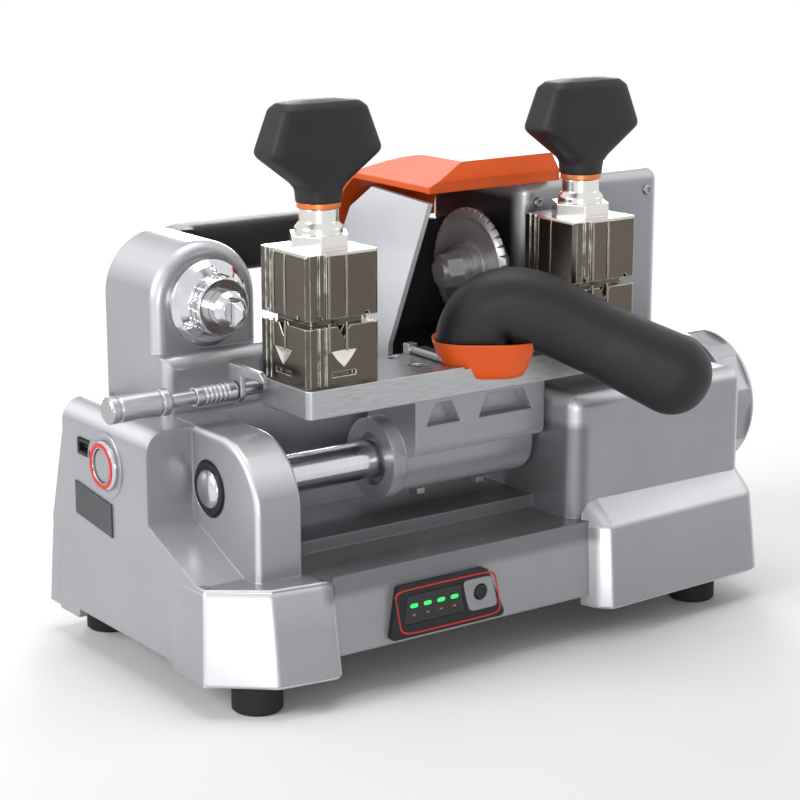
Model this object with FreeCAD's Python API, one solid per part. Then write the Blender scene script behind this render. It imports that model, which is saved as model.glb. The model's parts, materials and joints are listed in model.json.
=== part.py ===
import FreeCAD, Part
import math
import os

os.makedirs("parts", exist_ok=True)

# Driving dimensions in millimetres
base_width = 300.0
base_depth = 160.0
foot_height = 13.0
shaft_height = 87.0
shaft_radius = 8.75
vise_side = 37.0
jaw_height = 28.6
cutter_radius = 28.7
plate_thick = 12.4
wall = 4.0

# Clearances
fit_gap = 0.3
run_gap = 0.05

# Positions along X
left = -base_width / 2
right = base_width / 2
ped_left = left + 25.5
ped_right = ped_left + 23.0
block_left = right - 109.0
block_right = right - 2.5
housing_left = right - 90.0
housing_right = right - 2.5
post_half = 27.0
tracer_x = ped_left + post_half
cutter_x = housing_left - 13.0
station_gap = cutter_x - tracer_x
park_offset = 23.0
vise_xs = (tracer_x + park_offset, cutter_x + park_offset)
hood_left = housing_left - 58.0

# Positions along Y
base_front = -66.5
base_back = base_front + base_depth
plinth_front = base_front + 5.0
block_front = base_front + 12.0
ped_front = base_front + 17.5
shaft_y = base_front + 55.7
vise_y = shaft_y - 11.1
spindle_y = vise_y + vise_side / 2 + 5.6 + cutter_radius
bulkhead = shaft_y + 29.3
deck_back = base_back - 15.0
tracer_y = spindle_y + 2.6
hood_back = spindle_y + cutter_radius + 13.0

# Heights
tub_top = foot_height + 41.0
leg_arch = foot_height + 6.0
bottom_z = leg_arch + 0.5
bottom_thick = 1.6
plate_low = shaft_height + 32.0
plate_top = plate_low + plate_thick
deck = plate_low - 7.0
key_plane = plate_top + jaw_height
jaw_top = key_plane + jaw_height
spindle_z = key_plane - 2.0
housing_top = spindle_z + 42.0
guard_top = housing_top + 13.0
ring_low = jaw_top + 17.0
knob_low = ring_low + 2.4

# Drive train
spindle_radius = 8.0
motor_radius = 20.0
motor_y = spindle_y + 8.0
motor_z = deck - wall - 1.0 - motor_radius
pulley_x0 = right - 24.0
pulley_x1 = right - 13.0
spindle_pulley_radius = 13.5
motor_pulley_radius = 10.0
belt_thick = 2.4


def vec(x, y, z):
    return FreeCAD.Vector(x, y, z)


def box(x0, x1, y0, y1, z0, z1):
    return Part.makeBox(x1 - x0, y1 - y0, z1 - z0, vec(x0, y0, z0))


def cyl_x(radius, x0, x1, y, z):
    return Part.makeCylinder(radius, x1 - x0, vec(x0, y, z), vec(1, 0, 0))


def cyl_y(radius, y0, y1, x, z):
    return Part.makeCylinder(radius, y1 - y0, vec(x, y0, z), vec(0, 1, 0))


def cyl_z(radius, z0, z1, x, y):
    return Part.makeCylinder(radius, z1 - z0, vec(x, y, z0), vec(0, 0, 1))


def face_of(points):
    return Part.Face(Part.makePolygon(points + [points[0]]))


def prism_x(points, x0, x1):
    return face_of([vec(x0, y, z) for y, z in points]).extrude(vec(x1 - x0, 0, 0))


def prism_y(points, y0, y1):
    return face_of([vec(x, y0, z) for x, z in points]).extrude(vec(0, y1 - y0, 0))


def prism_z(points, z0, z1):
    return face_of([vec(x, y, z0) for x, y in points]).extrude(vec(0, 0, z1 - z0))


def taper_z(low, high, z0, z1):
    rings = []
    for points, z in ((low, z0), (high, z1)):
        ring = [vec(x, y, z) for x, y in points]
        rings.append(Part.makePolygon(ring + [ring[0]]))
    return Part.makeLoft(rings, True, True)


def turned(profile, axis_point, axis):
    # Profile of (radius, distance along the axis) pairs, closed on the axis side
    points = [vec(r, 0, d) for r, d in profile]
    solid = face_of(points).revolve(vec(0, 0, 0), vec(0, 0, 1), 360)
    solid.Placement = FreeCAD.Placement(axis_point, FreeCAD.Rotation(vec(0, 0, 1), axis))
    return solid


def tube(outer, inner, length, start, axis):
    profile = [(inner, 0), (outer, 0), (outer, length), (inner, length)]
    return turned(profile, start, axis)


def merge(shapes):
    return shapes[0].multiFuse(shapes[1:]).removeSplitter()


def round_edges(shape, radius, chosen):
    edges = [e for e in shape.Edges if chosen(e.CenterOfMass, e.BoundBox)]
    return shape.makeFillet(radius, edges)


def near(a, b):
    return abs(a - b) < 0.02


def save(name, shape):
    solids = shape.Solids
    if len(solids) == 1:
        solids[0].exportStep("parts/" + name + ".step")
    else:
        Part.makeCompound(solids).exportStep("parts/" + name + ".step")


# Casting of the base
def plan(inset):
    west = left + inset
    east = right - inset
    south = base_front + inset
    north = base_back - inset
    return [(west, north - 12), (west, south + 21), (west + 23, south + 4), (west + 50, south),
            (west + 54, south + 5), (block_left + 7, south + 5), (block_left + 12, south),
            (east - 24, south + 6.5), (east - 7, south + 11), (east, south + 21),
            (east, north - 12), (east - 12, north), (west + 12, north)]


draft = 2.5
rear_profile = [(bulkhead, tub_top - wall), (bulkhead, deck), (deck_back, deck),
                (deck_back, deck - 14), (base_back - draft, tub_top), (base_back - draft, tub_top - wall)]


def pedestal():
    body = box(ped_left, ped_right, ped_front, bulkhead + 2, tub_top - wall, deck)
    body = round_edges(body, 30.0, lambda c, b: near(c.y, ped_front) and near(c.z, deck))
    return round_edges(body, 3.0, lambda c, b: near(b.XLength, 0) and c.z > tub_top + 4
                       and c.y < bulkhead - 8 and b.ZMin > tub_top - wall - 1)


def left_body():
    front = base_front + 21 + draft
    profile = [(front, tub_top - wall), (front, tub_top - 2), (ped_front + 51.5, tub_top + 17),
               (ped_front + 51.5, deck), (bulkhead + 2, deck), (bulkhead + 2, tub_top - wall)]
    return prism_x(profile, left + draft, ped_left + 1)


def rear_body():
    return prism_x(rear_profile, left + draft, right - draft)


def right_block():
    body = box(block_left, block_right, block_front, bulkhead + 2, tub_top - wall, deck)
    tall = deck - tub_top + wall
    body = round_edges(body, 8.0, lambda c, b: near(c.y, block_front) and near(b.ZLength, tall))
    body = round_edges(body, 7.0, lambda c, b: near(c.z, deck) and c.y < bulkhead
                       and not near(c.y, bulkhead + 2))
    low = base_front + draft
    wedge = prism_x([(low + 1.5, tub_top - wall), (block_front + 0.5, tub_top + 7),
                     (block_front + 20, tub_top + 7), (block_front + 20, tub_top - wall)],
                    block_left + 12.5, right - 26)
    return [body, wedge]


def base_cavities():
    low = plan(wall)
    high = plan(wall + draft)
    cuts = [taper_z(low, high, foot_height - 1, tub_top - wall)]
    back = deck_back - wall
    cuts.append(prism_x([(bulkhead + wall, tub_top - 6), (bulkhead + wall, deck - wall), (back, deck - wall),
                         (back, deck - 14), (base_back - draft - wall - 1, tub_top - 6)],
                        left + 22, right - draft - wall))
    cuts.append(box(left + draft + wall, left + 23, ped_front + 51.5 + wall, back, tub_top - 6, deck - 20))
    cuts.append(box(block_left + wall + 10, block_right - wall, block_front + wall, bulkhead + wall + 1,
                    tub_top - 6, deck - 3.0))
    cuts.append(box(ped_left + wall, ped_right - wall, ped_front + 8, bulkhead,
                    tub_top - 6, shaft_height - 20))
    return cuts


def base_openings():
    cuts = []
    mid_left = left + 54
    mid_right = block_left + 7
    cuts.append(box(mid_left, mid_right, base_front - 1, base_front + 12, foot_height - 1, leg_arch))
    cuts.append(box(mid_left, right - 54, base_back - 12, base_back + 1, foot_height - 1, leg_arch))
    cuts.append(box(left - 1, left + 12, base_front + 46, base_back - 30, foot_height - 1, leg_arch - 2))
    cuts.append(box(right - 12, right + 1, base_front + 46, base_back - 30, foot_height - 1, leg_arch - 2))
    # Bore for the carriage shaft with a wider seat for its end cap
    cuts.append(cyl_x(shaft_radius + run_gap, ped_left + 6, ped_right + 1, shaft_y, shaft_height))
    cuts.append(cyl_x(shaft_radius + 4.0, ped_left - 1, ped_left + 6, shaft_y, shaft_height))
    cuts.append(cyl_x(shaft_radius + run_gap, block_left - 1, block_left + wall + 11, shaft_y, shaft_height))
    cuts.append(cyl_x(shaft_radius + run_gap, block_right - wall - 1, right + 1, shaft_y, shaft_height))
    # Passage of the belt up into the spindle housing
    cuts.append(box(pulley_x0 - 2.5, pulley_x1 + 2, spindle_y - 21, spindle_y + 29,
                    deck - wall - 1, deck + 1))
    # Seats of the front display, the side controls and the battery door
    cuts.append(box(display_x0 + 9, display_x1 - 16, plinth_front - 1, plinth_front + 12,
                    display_z0 + 5, display_z1 - 5))
    cuts.append(cyl_x(power_radius + fit_gap, left - 1, left + 12, power_y, power_z))
    cuts.append(box(left - 1, left + 12, socket_y - 6, socket_y + 6, socket_z - 4, socket_z + 4))
    cuts.append(box(-door_half, door_half, base_back - 12, base_back + 1, leg_arch + 4, tub_top - 8))
    return cuts


screw_spots = [(left + wall + 5, base_back - 34), (right - wall - 5, base_back - 34),
               (left + 62, base_front + 24), (right - wall - 5, base_front + 44),
               (block_left - 6, base_front + 26)]


def corner_pads():
    # Solid corners over the feet
    tub = taper_z(plan(0), plan(draft), foot_height, tub_top)
    pads = []
    for x0, x1 in ((left - 1, left + 45), (right - 45, right + 1)):
        for y0, y1 in ((base_front - 1, base_front + 38), (base_back - 28, base_back + 1)):
            pads.append(tub.common(box(x0, x1, y0, y1, foot_height, bottom_z - 0.4)))
    return pads


def base_bosses():
    posts = corner_pads()
    for x, y in screw_spots:
        post = cyl_z(4.5, bottom_z + bottom_thick, tub_top - 1, x, y)
        posts.append(post.cut(cyl_z(1.5, bottom_z, bottom_z + 14, x, y)))
    # Inner bulkhead that carries the face of the motor
    web = box(pulley_x0 - 6, pulley_x0 - 3, bulkhead - 6, deck_back - wall + 1, tub_top - 2, deck - 1)
    web = web.cut(cyl_x(7.5, pulley_x0 - 7, pulley_x0 - 2, motor_y, motor_z))
    posts.append(web)
    # Cross ribs under the deck below the tracer post
    for x in (tracer_x - 14, tracer_x + 14):
        posts.append(box(x - 1.5, x + 1.5, bulkhead + 2, deck_back - 2, deck - 16, deck - 2))
    return posts


def base_casting():
    parts = [taper_z(plan(0), plan(draft), foot_height, tub_top), pedestal(), left_body(), rear_body()]
    parts += right_block()
    # Ledge below the carriage shaft
    parts.append(box(ped_right - 1, block_left + 1, shaft_y - 14.7, bulkhead + 2,
                     tub_top - wall, tub_top + 6))
    body = merge(parts)
    top_corner = left + draft
    body = round_edges(body, 10.0, lambda c, b: near(c.x, top_corner) and near(c.z, deck))
    body = body.cut(base_cavities())
    body = merge([body] + base_bosses())
    return body.cut(base_openings()).removeSplitter()


def bottom_plate():
    plate = prism_z(plan(wall + 5.0), bottom_z, bottom_z + bottom_thick)
    for x, y in screw_spots:
        plate = plate.cut(cyl_z(1.8, 0, tub_top, x, y))
    for row in range(6):
        x = -40.0 + row * 12
        plate = plate.cut(box(x, x + 5, base_front + 67, base_front + 107, 0, tub_top))
    return plate


def case_screws():
    screws = []
    for x, y in screw_spots:
        head = cyl_z(3.2, bottom_z - 1.8, bottom_z, x, y)
        screws.append(merge([head, cyl_z(1.4, bottom_z, bottom_z + 11, x, y)]))
    z = (leg_arch + tub_top - 4) / 2
    for x in (-door_half - 0.2, door_half + 0.2):
        screws.append(cyl_y(3.0, base_back + 2.2, base_back + 4.0, x, z))
    return Part.makeCompound(screws)


foot_spots = [(left + 24, base_front + 17), (right - 27, base_front + 19),
              (left + 24, base_back - 15), (right - 27, base_back - 15)]


def rubber_feet():
    feet = []
    for x, y in foot_spots:
        profile = [(0, 0), (10, 0), (11, 1), (11, foot_height), (0, foot_height)]
        foot = turned(profile, vec(x, y, 0), vec(0, 0, 1))
        feet.append(foot.cut(cyl_z(4, -1, 4, x, y)))
    return Part.makeCompound(feet)


# Front display and side controls
display_x0 = left + 83.0
display_x1 = left + 146.0
display_z0 = foot_height + 8.0
display_z1 = foot_height + 31.5
power_y = base_front + 105.0
power_z = deck - 22.0
power_radius = 7.5
socket_y = base_front + 124.0
socket_z = deck - 18.0
door_half = 62.0


def display_bezel():
    low = plinth_front - 2.2
    shape = prism_y([(display_x0, display_z0), (display_x1, display_z0), (display_x1 - 10.5, display_z1),
                     (display_x0 + 5, display_z1)], low, plinth_front + 1.9)
    shape = round_edges(shape, 2.0, lambda c, b: near(b.YLength, 4.1))
    shape = shape.cut(base_wedge)
    window = prism_y(window_outline(fit_gap), low - 1, low + 1.2)
    shape = shape.cut(window)
    return shape.cut(cyl_y(3.2 + fit_gap, low - 1, plinth_front + 4, display_x1 - 14.5, display_z0 + 13.5))


base_wedge = taper_z(plan(0), plan(draft), foot_height, tub_top)


def window_outline(grow):
    z0 = display_z0 + 6.0 - grow
    z1 = display_z1 - 4.5 + grow
    return [(display_x0 + 7 - grow, z0), (display_x1 - 23 + grow, z0), (display_x1 - 25 + grow, z1),
            (display_x0 + 9 - grow, z1)]


def display_window():
    low = plinth_front - 2.2
    return prism_y(window_outline(0), low + 0.1, low + 1.2)


def panel_button():
    low = plinth_front - 2.2
    x = display_x1 - 14.5
    z = display_z0 + 13.5
    return turned([(0, 0), (2.6, 0), (3.2, 0.6), (3.2, 3.0), (0, 3.0)], vec(x, low - 1.2, z), vec(0, 1, 0))


def power_bezel():
    return turned([(power_radius + fit_gap, 0), (power_radius + 2.6, 0), (power_radius + 3.6, 1.2),
                   (power_radius + 3.6, 2.4), (power_radius + fit_gap, 2.4)],
                  vec(left + draft - 2.4, power_y, power_z), vec(1, 0, 0))


def power_button():
    return turned([(0, 0), (5.6, 0), (power_radius, 0.8), (power_radius, 7.0), (0, 7.0)],
                  vec(left + draft - 2.0, power_y, power_z), vec(1, 0, 0))


def charge_socket():
    y = socket_y
    z = socket_z
    shell = box(left + draft - 0.8, left + 11, y - 5.7, y + 5.7, z - 3.7, z + 3.7)
    mouth = box(left, left + 9, y - 4.2, y + 4.2, z - 2.2, z + 2.2)
    tongue = box(left + 3.5, left + 9.2, y - 3.0, y + 3.0, z - 0.4, z + 0.4)
    return shell.cut(mouth).fuse(tongue)


def label_plate():
    y = base_front + 100
    z = tub_top + 4
    face = left + draft
    return prism_x([(y, z), (y + 33, z + 4), (y + 33, z + 19), (y, z + 15)], face - 0.8, face)


def battery_door():
    low = leg_arch + 2
    high = tub_top - 6
    shape = box(-door_half - 4, door_half + 4, base_back - 3.2, base_back + 2.2, low, high)
    shape = round_edges(shape, 4.0, lambda c, b: near(b.YLength, 5.4))
    shape = shape.cut(base_wedge)
    for row in range(9):
        x = -48.0 + row * 12
        shape = shape.cut(box(x - 2, x + 2, base_back - 9, base_back + 9, low + 8, high - 8))
    for x in (-door_half - 0.2, door_half + 0.2):
        shape = shape.cut(cyl_y(1.7, base_back - 9, base_back + 9, x, (low + high) / 2))
    return shape


# Pieces inside the base
def battery_pack():
    cells = []
    for column in range(5):
        x = -44.0 + column * 20
        cells.append(cyl_y(9.2, bulkhead - 7, bulkhead + 58, x, bottom_z + bottom_thick + 11.6))
    low = bottom_z + bottom_thick
    tray = box(-56, 46, bulkhead - 9, bulkhead + 60, low, low + 12)
    return merge([tray] + cells)


def control_board():
    y = plinth_front + 14
    board = box(left + 66, block_left - 8, y, y + 1.6, bottom_z + 3, tub_top - 8)
    chips = [box(left + 84, left + 98, y + 1.6, y + 5, foot_height + 14, foot_height + 24),
             box(left + 120, left + 132, y + 1.6, y + 9, foot_height + 12, foot_height + 27)]
    for column in range(3):
        chips.append(cyl_y(4, y + 1.6, y + 13, left + 150 + column * 11, foot_height + 20))
    return merge([board] + chips)


def motor_body():
    x0 = pulley_x0 - 66
    x1 = pulley_x0 - 6 - 0.2
    can = turned([(0, 0), (12, 0), (12, 2.5), (motor_radius - 2, 2.5), (motor_radius, 4.5),
                  (motor_radius, x1 - x0), (0, x1 - x0)], vec(x0, motor_y, motor_z), vec(1, 0, 0))
    boss = cyl_x(6.8, x1, x1 + 3, motor_y, motor_z)
    can = can.fuse(boss).cut(cyl_x(3.0, x0 - 1, x1 + 5, motor_y, motor_z))
    for turn in range(6):
        angle = math.radians(60 * turn)
        y = motor_y + 14 * math.cos(angle)
        z = motor_z + 14 * math.sin(angle)
        can = can.cut(cyl_x(2.4, x0 - 1, x0 + 10, y, z))
    return can


def motor_rotor():
    return cyl_x(2.5, pulley_x0 - 64, pulley_x1 + 1, motor_y, motor_z)


def motor_pulley():
    width = pulley_x1 - pulley_x0
    r = motor_pulley_radius
    return turned([(2.6, 0), (r + 2.5, 0), (r + 2.5, 1.2), (r, 1.4), (r, width - 1.4),
                   (r + 2.5, width - 1.2), (r + 2.5, width), (2.6, width)],
                  vec(pulley_x0, motor_y, motor_z), vec(1, 0, 0))


drum_radius = 33.0
drum_end = right + 16.5


def shaft_drum():
    # Round cover over the right end of the shaft, with shallow flats between ribs on its flank
    x0 = block_right
    r = drum_radius
    deep = drum_end - x0
    shape = turned([(r - 4, 0), (r, 0), (r, deep - 3), (r - 2.4, deep), (0, deep), (0, deep - 2.4),
                    (r - 4, deep - 2.4)], vec(x0, shaft_y, shaft_height), vec(1, 0, 0))
    for turn in range(8):
        flat = box(x0 + 3, drum_end - 4, shaft_y - 9, shaft_y + 9,
                   shaft_height + r - 1.5, shaft_height + r + 5)
        flat.rotate(vec(x0, shaft_y, shaft_height), vec(1, 0, 0), 45 * turn + 12)
        shape = shape.cut(flat)
    return shape


def shaft_nut():
    x0 = block_right
    washer = tube(15, shaft_radius + run_gap, 2, vec(x0, shaft_y, shaft_height), vec(1, 0, 0))
    nut = prism_x([(shaft_y + a, shaft_height + b) for a, b in hexagon(26, 0)], x0 + 2, x0 + 10)
    return merge([washer, nut.cut(cyl_x(shaft_radius + run_gap, x0, x0 + 12, shaft_y, shaft_height))])


def drive_belt():
    # Loop round both pulleys, a straight run on each side
    dy = spindle_y - motor_y
    dz = spindle_z - motor_z
    span = math.hypot(dy, dz)
    lift = math.degrees(math.atan2(dz, dy))

    def loop(extra, x0, x1):
        r1 = motor_pulley_radius + extra
        r2 = spindle_pulley_radius + extra
        lean = math.acos((r1 - r2) / span)
        up = [(r * math.cos(lean) + s, r * math.sin(lean)) for r, s in ((r1, 0), (r2, span))]
        fill = prism_x([up[0], up[1], (up[1][0], -up[1][1]), (up[0][0], -up[0][1])], x0, x1)
        return merge([cyl_x(r1, x0, x1, 0, 0), cyl_x(r2, x0, x1, span, 0), fill])

    x0 = pulley_x0 + 2.0
    x1 = pulley_x1 - 2.0
    shape = loop(fit_gap + belt_thick, x0, x1).cut(loop(fit_gap, x0 - 1, x1 + 1))
    shape.rotate(vec(0, 0, 0), vec(1, 0, 0), lift)
    shape.translate(vec(0, motor_y, motor_z))
    return shape


# Tracer post and tracer
post_front = tracer_y
post_back = deck_back - 2.0


def tracer_post():
    step = spindle_z - 21
    arch = box(tracer_x - post_half, tracer_x + post_half, post_front, post_back, deck, spindle_z)
    arch = merge([arch, cyl_y(post_half, post_front, post_back, tracer_x, spindle_z)])
    arch = round_edges(arch, 6.0, lambda c, b: near(c.y, post_front) and c.z > deck + 1 and b.YLength < 0.01)
    toe = box(tracer_x - post_half, tracer_x + post_half, post_front - 9, post_front + 10, deck, step)
    toe = round_edges(toe, 6.0, lambda c, b: near(c.y, post_front - 9) and c.z > deck + 1)
    body = merge([arch, toe])
    hollow = box(tracer_x - post_half + 5, tracer_x + post_half - 5, post_front + 12, post_back - 5,
                 deck - 1, spindle_z - 2)
    hollow = hollow.fuse(cyl_y(post_half - 6, post_front + 12, post_back - 5, tracer_x, spindle_z - 2))
    body = body.cut(hollow)
    return body.cut(cyl_y(9.0 + run_gap, post_front - 1, post_front + 13, tracer_x, spindle_z))


def tracer_flange():
    # Stepped chrome dome with a bore for the sliding holder
    y = post_front
    shape = turned([(8.05, -12), (8.9, -12), (8.9, 0), (19.4, 0), (19.4, 2.5), (17.0, 5.5), (14.0, 8),
                    (8.05, 8)], vec(tracer_x, y, spindle_z), vec(0, -1, 0))
    for turn in range(3):
        angle = math.radians(90 + 120 * turn)
        x = tracer_x + 15.4 * math.cos(angle)
        z = spindle_z + 15.4 * math.sin(angle)
        shape = shape.cut(cyl_y(1.7, y - 9, y - 3.4, x, z))
    return shape


def tracer_ring():
    # Knurled adjusting ring in front of the flange
    start = post_front - 8.3
    shape = turned([(8.1, 0), (12.6, 0), (13.2, 0.8), (13.2, 5.4), (12.4, 6.4), (8.1, 6.4)],
                   vec(tracer_x, start, spindle_z), vec(0, -1, 0))
    for turn in range(18):
        angle = math.radians(20 * turn)
        x = tracer_x + 13.5 * math.cos(angle)
        z = spindle_z + 13.5 * math.sin(angle)
        shape = shape.cut(cyl_y(0.8, start - 7, start + 1, x, z))
    return shape


stylus_tip = spindle_y - cutter_radius


def tracer_holder():
    front = post_front - 24.0
    length = post_front + 10 - front
    shape = turned([(0, 0), (8.0, 0), (8.0, length - 4), (6.5, length - 1), (5.5, length), (0, length)],
                   vec(tracer_x, post_front + 10, spindle_z), vec(0, -1, 0))
    shape = shape.cut(box(tracer_x - 2.15, tracer_x + 2.15, front - 1, front + 12,
                          spindle_z - 9, spindle_z + 4.15))
    return shape.cut(cyl_x(1.8, tracer_x + 1, tracer_x + 10, front + 5, spindle_z))


def tracer_stylus():
    # Blade that narrows to a rounded tip at the same reach as the cutter
    y1 = post_front - 13.0
    root = post_front - 26.0
    tip = stylus_tip
    profile = [(y1, spindle_z - 7), (root, spindle_z - 7), (tip + 0.6, spindle_z - 2.6), (tip, spindle_z - 2),
               (tip, spindle_z + 1), (tip + 0.6, spindle_z + 1.6), (root, spindle_z + 4), (y1, spindle_z + 4)]
    blade = prism_x(profile, tracer_x - 2.0, tracer_x + 2.0)
    side = prism_z([(tracer_x - 0.7, tip), (tracer_x + 0.7, tip), (tracer_x + 2.2, root),
                    (tracer_x + 2.2, y1 + 1), (tracer_x - 2.2, y1 + 1), (tracer_x - 2.2, root)],
                   spindle_z - 9, spindle_z + 6)
    return blade.common(side)


# Spindle housing, spindle and cutter
def spindle_housing():
    front = spindle_y - 22.4
    back = post_back
    shape = box(housing_left, housing_right, front, back, deck, housing_top)
    tall = housing_top - deck
    shape = round_edges(shape, 8.0, lambda c, b: near(b.ZLength, tall) and c.y < spindle_y)
    shape = round_edges(shape, 6.0, lambda c, b: near(c.z, housing_top))
    inner = box(housing_left + 5, housing_right - 3.5, front + 4, back - 4, deck - 1, housing_top - 4)
    shape = shape.cut(inner)
    bosses = []
    for x0, x1 in bearing_spans:
        bosses.append(cyl_x(17, x0, x1, spindle_y, spindle_z))
        bosses.append(box(x0, x1, spindle_y - 6, back - 2, spindle_z - 6, spindle_z + 6))
        bosses.append(box(x0, x1, spindle_y - 3, spindle_y + 3, spindle_z, housing_top - 2))
    bosses.append(cyl_x(17, housing_left, housing_left + 8, spindle_y, spindle_z))
    shape = merge([shape] + bosses)
    for x0, x1 in bearing_spans:
        shape = shape.cut(cyl_x(bearing_outer, x0 - 0.5, x1 + 0.5, spindle_y, spindle_z))
    shape = shape.cut(cyl_x(14.0, housing_left - 1, housing_left + 9, spindle_y, spindle_z))
    for row in range(7):
        z = deck + 20 + row * 8
        shape = shape.cut(box(housing_right - 40, housing_right - 12, back - 9, back + 1, z, z + 3.5))
    return shape.cut(cyl_y(lock_radius + 0.1, front - 1, front + 9, lock_x, lock_z))


bearing_outer = 13.0
bearing_inner = 6.0
bearing_spans = ((housing_left + 16.0, housing_left + 24.0), (pulley_x0 - 14.0, pulley_x0 - 6.0))
lock_x = housing_left + 9.5
lock_z = spindle_z + 2.0
lock_radius = 4.5


def spindle_bearings():
    rings = []
    for x0, x1 in bearing_spans:
        start = vec(x0, spindle_y, spindle_z)
        width = x1 - x0
        rings.append(tube(bearing_outer - run_gap, spindle_radius + run_gap, width, start, vec(1, 0, 0)))
    return Part.makeCompound(rings)


def spindle_shaft():
    # Stepped shaft with the cutter arbor, a flange with lock holes and two bearing seats
    x0 = cutter_x - 19.0
    flange0 = cutter_x + 2.2
    profile = [(0, 0), (4.9, 0), (5, 0.4), (5, flange0 - x0), (11.5, flange0 - x0), (11.5, flange0 - x0 + 4),
               (spindle_radius, flange0 - x0 + 6), (spindle_radius, housing_left + 3 - x0)]
    lock_end = housing_left + 13.5 - x0
    end = pulley_x1 + 1.0 - x0
    profile += [(11.0, housing_left + 3 - x0), (11.0, lock_end), (spindle_radius, lock_end),
                (spindle_radius, bearing_spans[1][1] - x0 + 2), (6.0, bearing_spans[1][1] - x0 + 2),
                (6.0, end), (0, end)]
    shape = turned(profile, vec(x0, spindle_y, spindle_z), vec(1, 0, 0))
    for turn in range(4):
        hole = cyl_y(2.2, spindle_y - 14, spindle_y - 7.5, lock_x, spindle_z)
        hole.rotate(vec(lock_x, spindle_y, spindle_z), vec(1, 0, 0), 90 * turn)
        shape = shape.cut(hole)
    return shape


def spindle_pulley():
    width = pulley_x1 - pulley_x0
    r = spindle_pulley_radius
    shape = turned([(6.05, 0), (r + 2.5, 0), (r + 2.5, 1.2), (r, 1.4), (r, width - 1.4),
                    (r + 2.5, width - 1.2), (r + 2.5, width), (6.05, width)],
                   vec(pulley_x0, spindle_y, spindle_z), vec(1, 0, 0))
    for turn in range(5):
        angle = math.radians(72 * turn)
        y = spindle_y + 11.2 * math.cos(angle)
        z = spindle_z + 11.2 * math.sin(angle)
        shape = shape.cut(cyl_x(3.0, pulley_x0 - 1, pulley_x1 + 1, y, z))
    return shape


cutter_teeth = 36


def cutter_disc():
    # Double-angle rim with teeth cut through it and a ground recess on each side
    half = 2.2
    r = cutter_radius
    profile = [(5.06, -half), (12.5, -half), (13.5, -1.4), (r - 6, -1.4), (r - 3.2, -half), (r - 1.2, -0.9),
               (r, -0.4), (r, 0.4), (r - 1.2, 0.9), (r - 3.2, half), (r - 6, 1.4), (13.5, 1.4), (12.5, half),
               (5.06, half)]
    shape = turned(profile, vec(cutter_x, spindle_y, spindle_z), vec(1, 0, 0))
    notches = []
    for turn in range(cutter_teeth):
        notch = prism_x([(r - 2.6, 0), (r + 1, -0.4), (r + 1, 2.2), (r - 0.2, 1.2)],
                        cutter_x - 4, cutter_x + 4)
        notch.rotate(vec(cutter_x, 0, 0), vec(1, 0, 0), 360.0 * turn / cutter_teeth)
        notch.translate(vec(0, spindle_y, spindle_z))
        notches.append(notch)
    return shape.cut(notches)


def hexagon(across, offset):
    points = []
    for turn in range(6):
        angle = math.radians(60 * turn + offset)
        points.append((across / math.sqrt(3) * math.cos(angle), across / math.sqrt(3) * math.sin(angle)))
    return points


def cutter_nut():
    x1 = cutter_x - 2.2
    washer = tube(12.0, 5.06, 3.6, vec(x1 - 3.6, spindle_y, spindle_z), vec(1, 0, 0))
    collar = tube(9.4, 5.06, 4.0, vec(x1 - 7.6, spindle_y, spindle_z), vec(1, 0, 0))
    nut = prism_x([(spindle_y + a, spindle_z + b) for a, b in hexagon(14, 10)], x1 - 15.0, x1 - 7.6)
    nut = nut.cut(cyl_x(5.06, x1 - 16, x1, spindle_y, spindle_z))
    return merge([washer, collar, nut])


def lock_button():
    front = spindle_y - 22.4
    return turned([(0, 0), (3.4, 0), (lock_radius, 0.9), (lock_radius, 10.0), (0, 10.0)],
                  vec(lock_x, front - 3.6, lock_z), vec(0, 1, 0))


# Guard and chip chamber
guard_back = hood_back + 6.0
hinge_y = guard_back + 2.5
hinge_z = spindle_z + 14.0
hinge_xs = (hood_left + 12, housing_left - 14)


def guard_solid(inset, x0, x1):
    # Fender over the cutter with a sloping shoulder on its left side
    top = guard_top - inset
    lip = spindle_y - cutter_radius + 0.8 + inset
    back = guard_back - inset
    low = housing_top + 0.6
    crown = vec(x0, spindle_y + 2, top)
    tail = vec(x0, back, top - 31)
    middle = vec(x0, crown.y + 0.72 * (back - crown.y), top - 10)
    sweep = Part.BSplineCurve()
    sweep.interpolate([crown, middle, tail], InitialTangent=vec(0, 1, 0), FinalTangent=vec(0, 0, -1))
    under = [tail, vec(x0, back, hinge_z + 5), vec(x0, spindle_y + 10, hinge_z + 5),
             vec(x0, spindle_y + 10, low), vec(x0, lip, low), vec(x0, lip, low + 5), vec(x0, lip + 6, top),
             crown]
    outline = Part.Wire([sweep.toShape()] + Part.makePolygon(under).Edges)
    slab = Part.Face(outline).extrude(vec(x1 - x0, 0, 0))
    slope = prism_y([(hood_left - 20, guard_top + 20), (hood_left - 20, guard_top - 10 - inset),
                     (hood_left, guard_top - 9.5 - inset), (hood_left + 23, guard_top - inset),
                     (hood_left + 23, guard_top + 20)], base_front, base_back + 20)
    return slab.cut(slope)


def guard():
    x0 = hood_left
    x1 = housing_left + 18.0
    inner = guard_solid(2.6, x0 - 1, x1 - 2.6)
    floor = box(x0 - 1, x1 - 2.6, spindle_y - cutter_radius + 3.4, guard_back - 2.6, hinge_z, guard_top - 31)
    shape = guard_solid(0.0, x0, x1).cut([inner, floor])
    shape = shape.cut(box(housing_left - 0.8, x1 + 1, base_front, base_back + 9, deck, housing_top + 0.6))
    eyes = []
    for x in hinge_xs:
        eye = merge([cyl_x(4.0, x, x + 6, hinge_y, hinge_z),
                     box(x, x + 6, guard_back - 0.5, hinge_y + 4, hinge_z, hinge_z + 10)])
        eyes.append(eye.cut(cyl_x(2.1, x - 1, x + 7, hinge_y, hinge_z)))
    return merge([shape] + eyes)


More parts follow.
